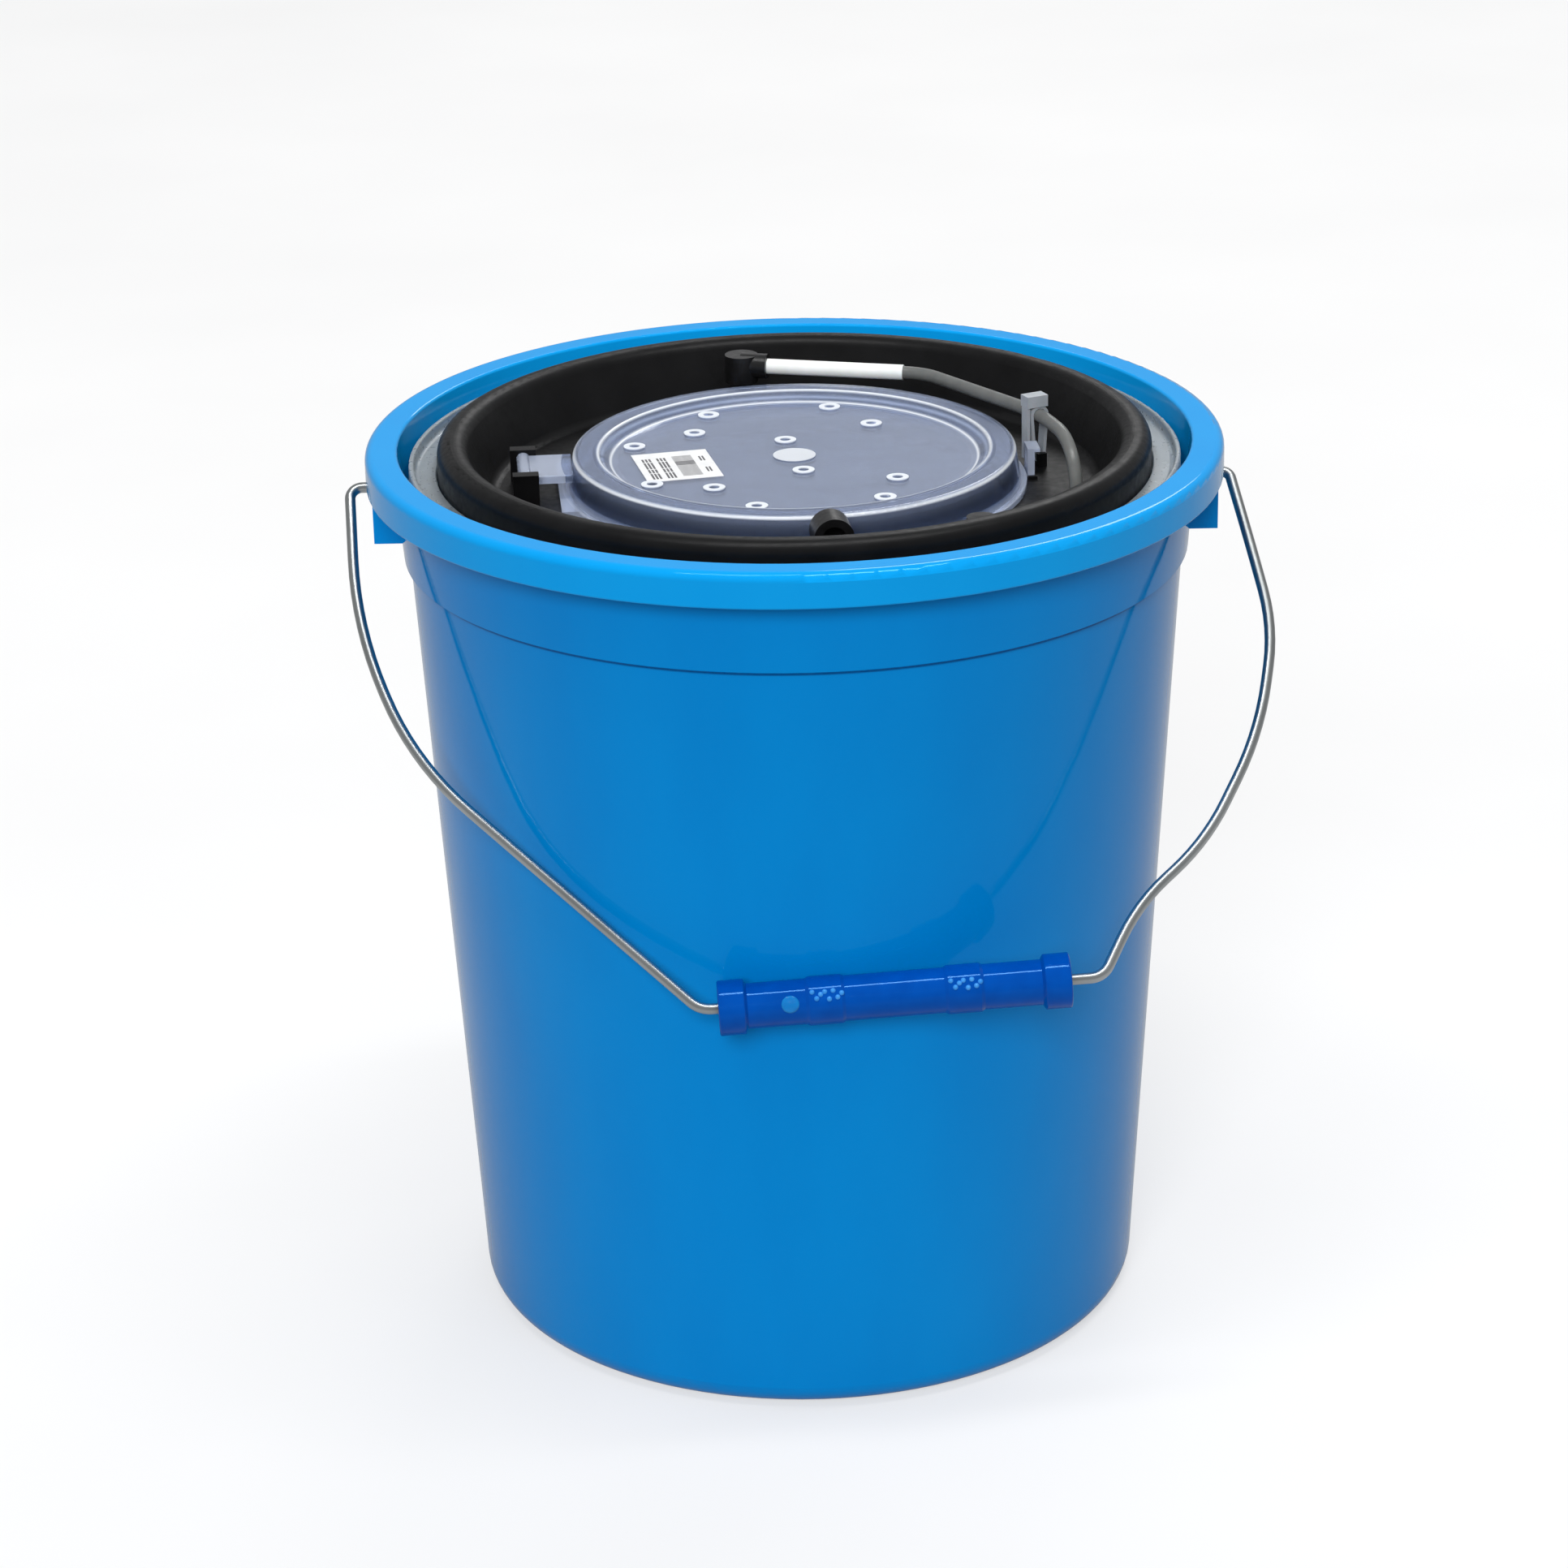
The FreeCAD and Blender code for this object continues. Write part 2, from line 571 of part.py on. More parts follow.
def make_bail_grip():
    """Hollow-ended barrel with end collars and two raised bands, free to turn on the wire."""
    bore = "bail_wire_radius + grip_bore_clearance"
    outline = [(bore, "grip_mouth_depth"), ("grip_mouth_radius", "grip_mouth_depth"),
               ("grip_mouth_radius", "0"), ("grip_collar_radius", "0", "wall / 3"),
               ("grip_collar_radius", "grip_collar_length", "wall / 4"),
               ("grip_radius", "grip_collar_length + wall / 2")]
    for side in ("-", "+"):
        centre = "grip_length / 2 %s grip_band_offset" % side
        start = "%s - grip_band_length / 2" % centre
        end = "%s + grip_band_length / 2" % centre
        outline += [("grip_radius", start), ("grip_band_radius", "%s + %s" % (start, BARREL_TAPER)),
                    ("grip_band_radius", "%s - %s" % (end, BARREL_TAPER)), ("grip_radius", end)]
    outline += [("grip_radius", "grip_length - grip_collar_length - wall / 2"),
                ("grip_collar_radius", "grip_length - grip_collar_length", "wall / 4"),
                ("grip_collar_radius", "grip_length", "wall / 3"), ("grip_mouth_radius", "grip_length"),
                ("grip_mouth_radius", "grip_length - grip_mouth_depth"),
                (bore, "grip_length - grip_mouth_depth")]
    grip = revolved_body("bail_grip", outline)
    (left_across, left_down), (right_across, right_down) = bail_grip_ends()
    left = bail_point(left_across, left_down)
    run = bail_point(right_across, right_down) - left
    along = Vector(run).normalize()
    grip.Placement = Placement(left + along * size("grip_run_left"), Rotation(Vector(0, 0, 1), along))
    return grip


# ---------------------------------------------------------------- tub

def make_tub():
    """Tapered tub that hangs back from the pail, with a flange and a seat for the tray at its top."""
    flange_top = "(tub_top - tub_flange_depth)"
    tub = revolved_body("inner_tub", [
        ("0", TUB_FOOT),
        (TUB_FOOT_RADIUS, TUB_FOOT, "tub_corner"),
        (TUB_NECK, TUB_NECK_LEVEL),
        ("%s + tub_wall" % TUB_BORE, TUB_NECK_LEVEL),
        ("%s + tub_wall" % TUB_BORE, "%s - tub_wall" % flange_top),
        (TUB_RIM, "%s - tub_wall" % flange_top, "tub_wall / 2"),
        (TUB_RIM, "tub_top", "tub_wall / 2.5"),
        ("%s - tub_wall" % TUB_RIM, "tub_top", "tub_wall / 2.5"),
        ("%s - tub_wall" % TUB_RIM, flange_top, "tub_wall"),
        (TUB_BORE, flange_top, "tub_wall / 4"),
        (TUB_BORE, TRAY_SEAT),
        ("%s - tub_wall" % TUB_NECK, TRAY_SEAT),
        ("%s - tub_wall" % TUB_NECK, TUB_NECK_LEVEL),
        ("%s - tub_wall" % TUB_FOOT_RADIUS, "%s + tub_wall" % TUB_FOOT, "tub_corner - tub_wall"),
        ("0", "%s + tub_wall" % TUB_FOOT),
    ])
    drain_ring(tub, "outer_drain", "base_radius - drain_inset", "drain_count_outer")
    drain_ring(tub, "inner_drain", "drain_ring_inner", "drain_count_inner")
    return tub


def drain_ring(tub, name, ring_radius, count):
    sketch = tub.newObject("Sketcher::SketchObject", name + "_circle")
    sketch.AttachmentSupport = (origin_feature(tub, "XY_Plane"), [""])
    sketch.MapMode = "FlatFace"
    circle = sketch.addGeometry(Part.Circle(Vector(size(ring_radius), 0, 0), Vector(0, 0, 1),
                                            size("drain_radius")), False)
    index = sketch.addConstraint(Sketcher.Constraint("Radius", circle, size("drain_radius")))
    sketch.setExpression("Constraints[%d]" % index, ref("drain_radius"))
    pin_point(sketch, circle, 3, ring_radius, "0")
    pocket = tub.newObject("PartDesign::Pocket", name)
    pocket.Profile = (sketch, [""])
    pocket.Length = DRAIN_CUT
    pocket.Reversed = True
    sketch.Visibility = False
    repeat_round(tub, pocket, count)


# ---------------------------------------------------------------- tray lid

def make_tray_lid():
    shell = revolved_body("tray_shell", [
        (TRAY_RADIUS, "%s + seat_gap" % TRAY_SEAT),
        (TRAY_RADIUS, "lip_top", "lip_roll"),
        (LIP_INNER, "lip_top", "lip_inner_roll"),
        (DECK_RADIUS, "deck_level", "deck_corner"),
        (OPENING, "deck_level", "tray_wall / 3"),
        (OPENING, "deck_level - collar_depth"),
        ("%s + tray_wall" % OPENING, "deck_level - collar_depth"),
        ("%s + tray_wall" % OPENING, DECK_UNDER),
        ("%s + tray_wall - tray_wall * %s" % (DECK_RADIUS, TRAY_LEAN), DECK_UNDER,
         "deck_corner + tray_wall"),
        ("%s + tray_wall - tray_wall * %s" % (LIP_INNER, TRAY_LEAN), "lip_top - tray_wall",
         "lip_inner_roll - tray_wall"),
        ("%s - tray_wall" % TRAY_RADIUS, "lip_top - tray_wall", "lip_roll - tray_wall"),
        ("%s - tray_wall" % TRAY_RADIUS, "%s + seat_gap" % TRAY_SEAT),
    ])
    peg = cylinder("deck_peg", "peg_radius", "peg_height + tray_wall / 2",
                   polar("%s - peg_inset" % DECK_RADIUS, "peg_angle", "deck_level - tray_wall / 2"))
    raised = fuse("tray_raised", [shell, peg] + catch_guards() + tie_anchor())
    holes = [
        deck_hole("inlet_hole", "shank_radius + shank_clearance", INLET_REACH, "inlet_angle"),
        deck_hole("port_hole", "shank_radius + shank_clearance", PORT_REACH, "port_angle"),
        deck_hole("drop_hole", "grommet_neck", DROP_REACH, "drop_angle"),
    ]
    return cut("tray_lid", raised, holes)


def deck_hole(name, radius, reach, angle):
    return cylinder(name, radius, "3 * tray_wall", polar(reach, angle, "deck_level - 2 * tray_wall"))


def catch_guards():
    """Two low ribs that flank the foot of the catch tongue."""
    posts = []
    for name, side in (("guard_left", "catch_width / 2 + catch_gap"),
                       ("guard_right", "-catch_width / 2 - catch_gap - guard_width")):
        posts.append(box(name, "catch_thickness + 2 * catch_gap", "guard_width",
                         "guard_height + tray_wall / 2", at(angle="lid_turn") + " * "
                         + at("%s + catch_gap" % HATCH_FLANGE, side, "deck_level - tray_wall / 2")))
    return posts


def tie_frame():
    """Where the cable tie stands, in the middle of a bend of the air tube, and the tube's heading there."""
    points, radii = line_points()
    before, corner, after = points[1:4]
    first, last, centre = corner_points(before, corner, after, radii[1])
    spot = centre + (corner - centre).normalize() * radii[1]
    heading = last - first
    heading.z = 0
    return spot, heading.normalize()


def tie_anchor():
    """A round bar on two posts; the cable tie passes under the bar."""
    spot, heading = tie_frame()
    bar_level = size("tie_bar_level")
    bar_radius = size("tie_bar_radius")
    post_thickness = 2.0
    half_gap = size("tie_width") / 2 + 0.5
    deck = size("deck_level - tray_wall / 2")
    turn = Rotation(Vector(1, 0, 0), heading)
    shapes = []
    for side in (-half_gap - post_thickness, half_gap):
        post = Part.makeBox(post_thickness, 2 * bar_radius + 1.0, bar_level + bar_radius - deck,
                            Vector(side, -bar_radius - 0.5, 0))
        shapes.append(post)
    length = 2 * (half_gap + post_thickness) - 0.4
    shapes.append(Part.makeCylinder(bar_radius, length, Vector(-length / 2, 0, bar_level - deck),
                                    Vector(1, 0, 0)))
    anchor = doc.addObject("Part::Feature", "tie_anchor")
    anchor.Shape = shapes[0].fuse(shapes[1:])
    anchor.Placement = Placement(Vector(spot.x, spot.y, deck), turn)
    return [anchor]


# ---------------------------------------------------------------- hatch, hinge and catch

def make_hatch_lid():
    under = "(hatch_top - hatch_wall)"
    shell = revolved_body("hatch_shell", [
        ("0", "hatch_panel_level - hatch_wall"),
        ("%s + hatch_wall" % PANEL_RADIUS, "hatch_panel_level - hatch_wall"),
        ("%s + hatch_wall" % RING_INNER, under),
        ("%s - hatch_wall" % RING_OUTER, under),
        ("%s - hatch_wall" % HATCH_WALL_FOOT, HATCH_FOOT),
        (HATCH_FLANGE, HATCH_FOOT),
        (HATCH_FLANGE, "%s + hatch_flange_height" % HATCH_FOOT, "hatch_wall / 3"),
        (HATCH_WALL_FOOT, "%s + hatch_flange_height" % HATCH_FOOT),
        (RING_OUTER, "hatch_top", "hatch_wall"),
        (RING_INNER, "hatch_top", "hatch_wall / 2"),
        (PANEL_RADIUS, "hatch_panel_level", "hatch_wall / 2"),
        ("0", "hatch_panel_level"),
    ])
    gate = cylinder("hatch_gate", "gate_radius", "gate_height + hatch_wall / 2",
                    at(z="hatch_panel_level - hatch_wall / 2"))
    collars, holes = hatch_vents()
    solid = fuse("hatch_solid", [shell, gate] + hinge_strap() + collars)
    return cut("hatch_lid", solid, holes, at(angle="lid_turn"))


def hinge_strap():
    strap = box("hinge_strap", "%s - %s - hatch_wall / 4" % (HINGE_REACH, RING_OUTER), "strap_width",
                "strap_thickness",
                at("-" + HINGE_REACH, "-strap_width / 2", "hinge_level - strap_thickness / 2"))
    bar = cylinder("hinge_tbar", "tbar_radius", "tbar_length",
                   at("-" + HINGE_REACH, "-tbar_length / 2", "hinge_level", **ALONG_Y))
    edge = "(%s + hinge_plate_edge)" % HATCH_FLANGE
    plate = box("hinge_plate_blank", "%s - %s * 0.8" % (edge, HATCH_WALL_FOOT), "hinge_plate_width",
                "hatch_flange_height", at("-" + edge, "-hinge_plate_width / 2", HATCH_FOOT))
    clear = cylinder("hinge_plate_clear", "%s - hatch_wall / 2" % HATCH_WALL_FOOT,
                     "2 * hatch_flange_height", at(z="%s - hatch_flange_height / 2" % HATCH_FOOT))
    return [strap, bar, cut("hinge_plate", plate, [clear])]


def hatch_vents():
    """Vent holes with low collars, on three rings of the recessed panel."""
    outer_ring = "%s - vent_collar_radius - vent_edge_gap" % PANEL_RADIUS
    places = [("vent_ring_inner", 95.0), ("vent_ring_inner", 275.0)]
    places += [("vent_ring_middle", 47.0 + 90.0 * turn) for turn in range(4)]
    places += [(outer_ring, 72.0 + 45.0 * turn) for turn in range(FRONT_VENTS)]
    collars = []
    holes = []
    for number, (ring, angle) in enumerate(places, start=1):
        collars.append(cylinder("vent_collar_%d" % number, "vent_collar_radius",
                                "vent_collar_height + hatch_wall / 2",
                                polar(ring, str(angle), "hatch_panel_level - hatch_wall / 2")))
        holes.append(cylinder("vent_hole_%d" % number, "vent_radius", "4 * hatch_wall",
                              polar(ring, str(angle), "hatch_panel_level - 2 * hatch_wall")))
    return collars, holes


def make_hinge_cradle():
    """Foot plate with two ears whose blind holes hold the ends of the hatch's cross bar."""
    inner = "(strap_width / 2 + ear_gap)"
    outer_width = "2 * (%s + cradle_ear_width)" % inner
    plate = box("cradle_foot", "cradle_length", outer_width, "cradle_plate",
                at("-%s - cradle_length / 2" % HINGE_REACH, "-%s - cradle_ear_width" % inner,
                   "deck_level"))
    ears = []
    for name, start in (("cradle_ear_rear", inner), ("cradle_ear_front", "-%s - cradle_ear_width" % inner)):
        ears.append(box(name, "cradle_length", "cradle_ear_width", "cradle_height",
                        at("-%s - cradle_length / 2" % HINGE_REACH, start, "deck_level")))
    solid = fuse("cradle_solid", [plate] + ears)
    hole = cylinder("cradle_hole", "tbar_radius + pin_clearance", "tbar_length + 2 * seat_gap",
                    at("-" + HINGE_REACH, "-tbar_length / 2 - seat_gap", "hinge_level", **ALONG_Y))
    return cut("hinge_cradle", solid, [hole], at(angle="lid_turn"))


def make_hatch_catch():
    """Springy tongue at the edge of the flange, pulled outwards to free the hatch."""
    inner = "%s + catch_gap" % HATCH_FLANGE
    tongue = box("catch_tongue", "catch_thickness", "catch_width", "catch_height",
                 at(inner, "-catch_width / 2", HATCH_FOOT))
    lip = box("catch_lip", "1.8 * catch_thickness", "catch_width", "catch_thickness / 2",
              at(inner, "-catch_width / 2", "%s + catch_height - catch_thickness / 2" % HATCH_FOOT))
    return fuse("hatch_catch", [tongue, lip], at(angle="lid_turn"))


# ---------------------------------------------------------------- air line

def around(reach, angle, level):
    """The point at a reach and angle about the pail's axis."""
    turn = math.radians(size(angle))
    return Vector(size(reach) * math.cos(turn), size(reach) * math.sin(turn), level)


def slack_run(hole, stone, top, low):
    """Corners that lead the tube from under the deck to a stone that isn't under the hole."""
    if (hole - stone).Length < 0.01:
        return []
    return [Vector(hole.x, hole.y, 0.9 * top + 0.1 * low), Vector(stone.x, stone.y, 0.3 * top + 0.7 * low)]


def line_points():
    """Corners of the air tube, from inside the stem down to the air stone, and its bend radii."""
    level = size("line_level")
    elbow = around(INLET_REACH, "inlet_angle", level)
    bend = around("%s - bend_inset" % DECK_RADIUS, "bend_angle", level)
    tie = around("%s - tie_inset" % DECK_RADIUS, "tie_angle", level + size("tie_rise"))
    hole = around(DROP_REACH, "drop_angle", 0)
    stone = around(STONE_REACH, "drop_angle", 0)
    along = (bend - elbow).normalize()
    reach = size("4 * line_radius")
    down = Vector(hole.x, hole.y, size("deck_level") + 0.95 * reach)
    over = down + Vector(-0.3 * reach, 1.4 * reach, 0.95 * reach)
    low = size("%s + tub_wall + seat_gap + stone_height + nipple_height" % TUB_FOOT)
    points = [bend - along * (2 * size("stem_plug")), bend, tie, over, down]
    points += slack_run(hole, stone, down.z, low)
    points.append(Vector(stone.x, stone.y, low))
    return points, open_radii(points, {1: size("8 * line_radius")})


def make_air_tube():
    points, radii = line_points()
    path = rounded_path(points, radii)
    heading = points[1] - points[0]
    outside = pipe(path, points[0], heading, size("line_radius"))
    inside = pipe(path, points[0], heading, size("line_bore"))
    print("air tube length %.1f, bends %s" % (path.Length, ", ".join("%.0f" % radius for radius in radii)))
    tube = doc.addObject("Part::Feature", "air_tube")
    tube.Shape = outside.cut(inside)
    return tube


def make_air_stem():
    """Rigid tube from the elbow's socket to the soft tube, which is pushed into its far end."""
    points, radii = line_points()
    along = (points[1] - points[0]).normalize()
    elbow = around(INLET_REACH, "inlet_angle", size("line_level"))
    start_offset = size("elbow_reach - stem_plug")
    bend_start = corner_points(points[0], points[1], points[2], radii[0])[0]
    length = (bend_start - elbow).Length - start_offset
    body = doc.addObject("Part::Cylinder", "stem_body")
    bind(body, Radius="stem_radius")
    body.Height = length
    bore = cylinder("stem_bore_hole", "stem_bore", "rim_radius")
    plugged = (bend_start - points[0]).Length
    mouth = cylinder("stem_mouth", "line_radius + pin_clearance", "2 * stem_plug")
    mouth.Placement = Placement(Vector(0, 0, length - plugged), Rotation())
    stem = cut("air_stem", body, [bore, mouth])
    stem.Placement = Placement(elbow + along * start_offset, Rotation(Vector(0, 0, 1), along))
    return stem


def make_inlet_elbow():
    """Upright shank with a flange, a round head and a side socket for the stem."""
    points, _ = line_points()
    along = points[1] - points[0]
    heading = math.degrees(math.atan2(along.y, along.x)) - size("inlet_angle")
    column = cylinder("elbow_column", "shank_radius", "line_level - deck_level + shank_length",
                      at(z="-shank_length"))
    flange = cylinder("elbow_flange", "flange_radius", "flange_height", at(z="washer_height"))
    neck = cone("elbow_neck", "shank_radius", "elbow_radius", "flange_height",
                at(z="line_level - deck_level - elbow_radius - flange_height"))
    head = cylinder("elbow_head", "elbow_radius", "elbow_top - line_level + elbow_radius",
                    at(z="line_level - deck_level - elbow_radius"))
    socket = cylinder("elbow_socket", "socket_radius", "elbow_reach",
                      at(z="line_level - deck_level", **ALONG_X))
    solid = fuse("elbow_solid", [column, flange, neck, head, socket])
    rise = cylinder("elbow_rise", "air_bore", "line_level - deck_level + shank_length + air_bore",
                    at(z="-shank_length"))
    mouth = cylinder("elbow_mouth", "stem_radius + pin_clearance", "stem_plug + seat_gap",
                     at("elbow_reach - stem_plug", "0", "line_level - deck_level", **ALONG_X))
    through = cylinder("elbow_through", "stem_bore", "elbow_reach / 2",
                       at("0", "0", "line_level - deck_level", **ALONG_X))
    hollow = fuse("elbow_hollow", [rise, mouth, through])
    return cut("inlet_elbow", solid, [hollow],
               polar(INLET_REACH, "inlet_angle", "deck_level") + " * " + at(angle=str(heading)))


def make_hose_port():
    """The second fitting: same shank, with a wide open mouth that faces the lip."""
    level = "(port_level - deck_level)"
    column = cylinder("port_column", "shank_radius", "%s + shank_length" % level, at(z="-shank_length"))
    flange = cylinder("port_flange", "flange_radius", "flange_height", at(z="washer_height"))
    barrel = cylinder("port_barrel", "port_radius", "port_front + port_back",
                      at("-port_back", "0", level, **ALONG_X))
    solid = fuse("port_solid", [column, flange, barrel])
    rise = cylinder("port_rise", "air_bore", "%s + shank_length" % level, at(z="-shank_length"))
    mouth = cylinder("port_mouth", "port_bore", "2 * port_depth",
                     at("port_front - port_depth", "0", level, **ALONG_X))
    return cut("hose_port", solid, [rise, mouth], polar(PORT_REACH, "port_angle", "deck_level"))


def make_washer(name, reach, angle):
    """Rubber washer between a fitting's flange and the deck."""
    disc = cylinder(name + "_disc", "flange_radius", "washer_height")
    hole = cylinder(name + "_hole", "shank_radius", "washer_height")
    return cut(name, disc, [hole], polar(reach, angle, "deck_level"))


def make_lock_nut(name, reach, angle):
    """Hexagon nut that clamps a fitting from below the deck."""
    hexagon = doc.addObject("Part::Prism", name + "_hexagon")
    hexagon.Polygon = 6
    bind(hexagon, Circumradius="nut_flats / 2 / cos(30 deg)", Height="nut_height")
    hole = cylinder(name + "_hole", "shank_radius", "nut_height")
    return cut(name, hexagon, [hole], polar(reach, angle, "%s - nut_height" % DECK_UNDER))


def make_grommet():
    """Rubber grommet that lines the tube's hole in the deck."""
    grommet = revolved_body("tube_grommet", [
        ("line_radius + pin_clearance", "-tray_wall - grommet_height"),
        ("grommet_radius", "-tray_wall - grommet_height"),
        ("grommet_radius", "-tray_wall"),
        ("grommet_neck", "-tray_wall"),
        ("grommet_neck", "0"),
        ("grommet_radius", "0"),
        ("grommet_radius", "grommet_height", "grommet_height / 2"),
        ("line_radius + pin_clearance", "grommet_height"),
    ])
    bind(grommet, Placement=polar(DROP_REACH, "drop_angle", "deck_level"))
    return grommet


def belt(top_radius, low_radius, distance, width):
    """Solid with the outline of a belt round two pulleys, the upper one at the origin."""
    tilt = math.asin((top_radius - low_radius) / distance)
    cosine, sine = math.cos(tilt), math.sin(tilt)
    top_left = Vector(0, -top_radius * cosine, -top_radius * sine)
    top_right = Vector(0, top_radius * cosine, -top_radius * sine)
    low_left = Vector(0, -low_radius * cosine, -distance - low_radius * sine)
    low_right = Vector(0, low_radius * cosine, -distance - low_radius * sine)
    edges = [
        Part.Arc(top_left, Vector(0, 0, top_radius), top_right).toShape(),
        Part.LineSegment(top_right, low_right).toShape(),
        Part.Arc(low_right, Vector(0, 0, -distance - low_radius), low_left).toShape(),
        Part.LineSegment(low_left, top_left).toShape(),
    ]
    solid = Part.Face(Part.Wire(edges)).extrude(Vector(width, 0, 0))
    solid.translate(Vector(-width / 2, 0, 0))
    return solid


def make_cable_tie():
    """Loop round the air tube and the anchor bar, a head on top and a hanging tail."""
    spot, heading = tie_frame()
    width = size("tie_width")
    thickness = size("tie_thickness")
    top = size("line_radius + pin_clearance")
    low = size("tie_bar_radius + pin_clearance")
    distance = spot.z - size("tie_bar_level")
    loop = belt(top + thickness, low + thickness, distance, width).cut(
        belt(top, low, distance, width + 2.0))
    head_low = top + thickness - 0.4
    head = Part.makeBox(width + 1.2, 8.6, 4.4, Vector(-width / 2 - 0.6, -5.4, head_low))
    tail_low = size("%s + hatch_flange_height + catch_gap" % HATCH_FOOT) - spot.z
    tail = Part.makeBox(width, thickness, head_low + 2.2 - tail_low,
                        Vector(-width / 2, -4.1 - thickness, tail_low))
    tie = doc.addObject("Part::Feature", "cable_tie")
    tie.Shape = loop.fuse([head, tail]).removeSplitter()
    tie.Placement = Placement(spot, Rotation(Vector(1, 0, 0), heading))
    return tie


def make_air_stone():
    """Porous stone that lies upright on the tub's base, under the tube's hole."""
    low = "%s + tub_wall + seat_gap" % TUB_FOOT
    stone = revolved_body("air_stone", [
        ("0", low),
        ("stone_radius", low, "stone_radius / 6"),
        ("stone_radius", "%s + stone_height" % low, "stone_radius / 6"),
        ("0", "%s + stone_height" % low),
    ])
    bind(stone, Placement=polar(STONE_REACH, "drop_angle"))
    return stone


def make_stone_nipple():
    """Plastic nipple glued to the stone, with a barb inside the tube's end."""
    foot = "(%s + tub_wall + seat_gap + stone_height)" % TUB_FOOT
    nipple = revolved_body("stone_nipple", [
        ("0", foot),
        ("nipple_radius", foot),
        ("nipple_radius", "%s + nipple_height" % foot, "nipple_height / 4"),
        ("barb_radius", "%s + nipple_height" % foot),
        ("barb_radius", "%s + nipple_height + stem_plug" % foot),
        ("0", "%s + nipple_height + stem_plug" % foot),
    ])
    bind(nipple, Placement=polar(STONE_REACH, "drop_angle"))
    return nipple


# ---------------------------------------------------------------- assembly and export

NODES = [
    make_outer_bucket(),
    make_bail_wire(),
    make_bail_grip(),
    make_tub(),
    make_tray_lid(),
    make_hatch_lid(),
    make_hinge_cradle(),
    make_hatch_catch(),
    make_inlet_elbow(),
    make_washer("inlet_washer", INLET_REACH, "inlet_angle"),
    make_lock_nut("inlet_lock_nut", INLET_REACH, "inlet_angle"),
    make_hose_port(),
    make_washer("port_washer", PORT_REACH, "port_angle"),
    make_lock_nut("port_lock_nut", PORT_REACH, "port_angle"),
    make_air_stem(),
    make_air_tube(),
    make_cable_tie(),
    make_grommet(),
    make_air_stone(),
    make_stone_nipple(),
]


def check_and_export():
    doc.recompute()
    failed = [item.Name for item in doc.Objects if "Invalid" in item.State or "Error" in item.State]
    if failed:
        raise RuntimeError("objects that failed: " + ", ".join(failed))
    for node in NODES:
        node.Label = node.Name
        if node.Shape.isNull() or not node.Shape.isValid():
            raise RuntimeError("no valid shape: " + node.Label)
    os.makedirs("parts", exist_ok=True)
    for node in NODES:
        node.Shape.exportStep("parts/%s.step" % node.Label)
        print("%-16s solids %d volume %9.1f" % (node.Label, len(node.Shape.Solids), node.Shape.Volume))


check_and_export()
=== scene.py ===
"""Looks of the aerated bait bucket: materials, small surface details, light and camera.

Lengths are in metres. The x axis points to the photograph's right, y away from the camera and z up.
"""
import json
import math

import bmesh
import bpy
from mathutils import Euler, Matrix, Vector


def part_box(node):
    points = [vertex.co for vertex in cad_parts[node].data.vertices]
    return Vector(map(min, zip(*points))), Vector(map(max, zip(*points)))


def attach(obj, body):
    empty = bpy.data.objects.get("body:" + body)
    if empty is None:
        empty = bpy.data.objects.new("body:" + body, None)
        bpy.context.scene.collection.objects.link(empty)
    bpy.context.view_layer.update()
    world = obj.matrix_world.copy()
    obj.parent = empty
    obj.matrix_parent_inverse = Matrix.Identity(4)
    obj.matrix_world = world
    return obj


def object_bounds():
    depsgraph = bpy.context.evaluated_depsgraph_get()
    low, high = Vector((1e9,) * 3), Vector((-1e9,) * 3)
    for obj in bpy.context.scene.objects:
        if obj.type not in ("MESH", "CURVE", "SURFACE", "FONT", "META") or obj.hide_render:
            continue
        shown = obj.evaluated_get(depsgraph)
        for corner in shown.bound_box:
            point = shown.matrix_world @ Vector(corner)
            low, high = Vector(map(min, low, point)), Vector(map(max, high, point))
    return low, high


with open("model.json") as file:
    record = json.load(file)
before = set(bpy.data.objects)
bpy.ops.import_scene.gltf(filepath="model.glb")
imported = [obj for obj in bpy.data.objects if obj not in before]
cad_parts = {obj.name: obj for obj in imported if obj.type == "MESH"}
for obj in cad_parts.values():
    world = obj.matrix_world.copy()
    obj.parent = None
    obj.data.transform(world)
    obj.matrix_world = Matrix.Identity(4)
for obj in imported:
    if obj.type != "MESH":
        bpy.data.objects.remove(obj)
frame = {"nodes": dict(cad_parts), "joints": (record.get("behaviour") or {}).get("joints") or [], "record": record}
NODES = frame["nodes"]
cad_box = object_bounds()

# ---------------------------------------------------------------- places on the source's nodes

PAIL_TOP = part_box("outer_bucket")[1].z
BAND_LEVEL = PAIL_TOP - 0.0130            # lower edge of the rim band
STEP_LEVEL = PAIL_TOP - 0.0420            # lower edge of the step in the wall under the band
TUB_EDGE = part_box("inner_tub")[1].x       # outer edge of the tub's flange
HATCH_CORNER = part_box("hatch_lid")[1]     # highest corner of the hatch's box
RING_LEVEL = HATCH_CORNER.z               # top of the hatch's raised ring
PANEL_LEVEL = RING_LEVEL - 0.0038         # upper face of the recessed panel inside the ring
FLANGE_RADIUS = HATCH_CORNER.x            # edge of the hatch's flange
RING_OUTER = FLANGE_RADIUS - 0.0042       # outer and inner edge of the ring's flat top
RING_INNER = RING_OUTER - 0.0094
PANEL_RADIUS = RING_INNER - 0.0046        # edge of the panel
GRIP_LENGTH = 0.126                       # grip end to end
BARREL_RADIUS = 0.00825                   # grip between its collars, and on its raised bands
BAND_RADIUS = 0.0089

# ---------------------------------------------------------------- camera, floor and lamps

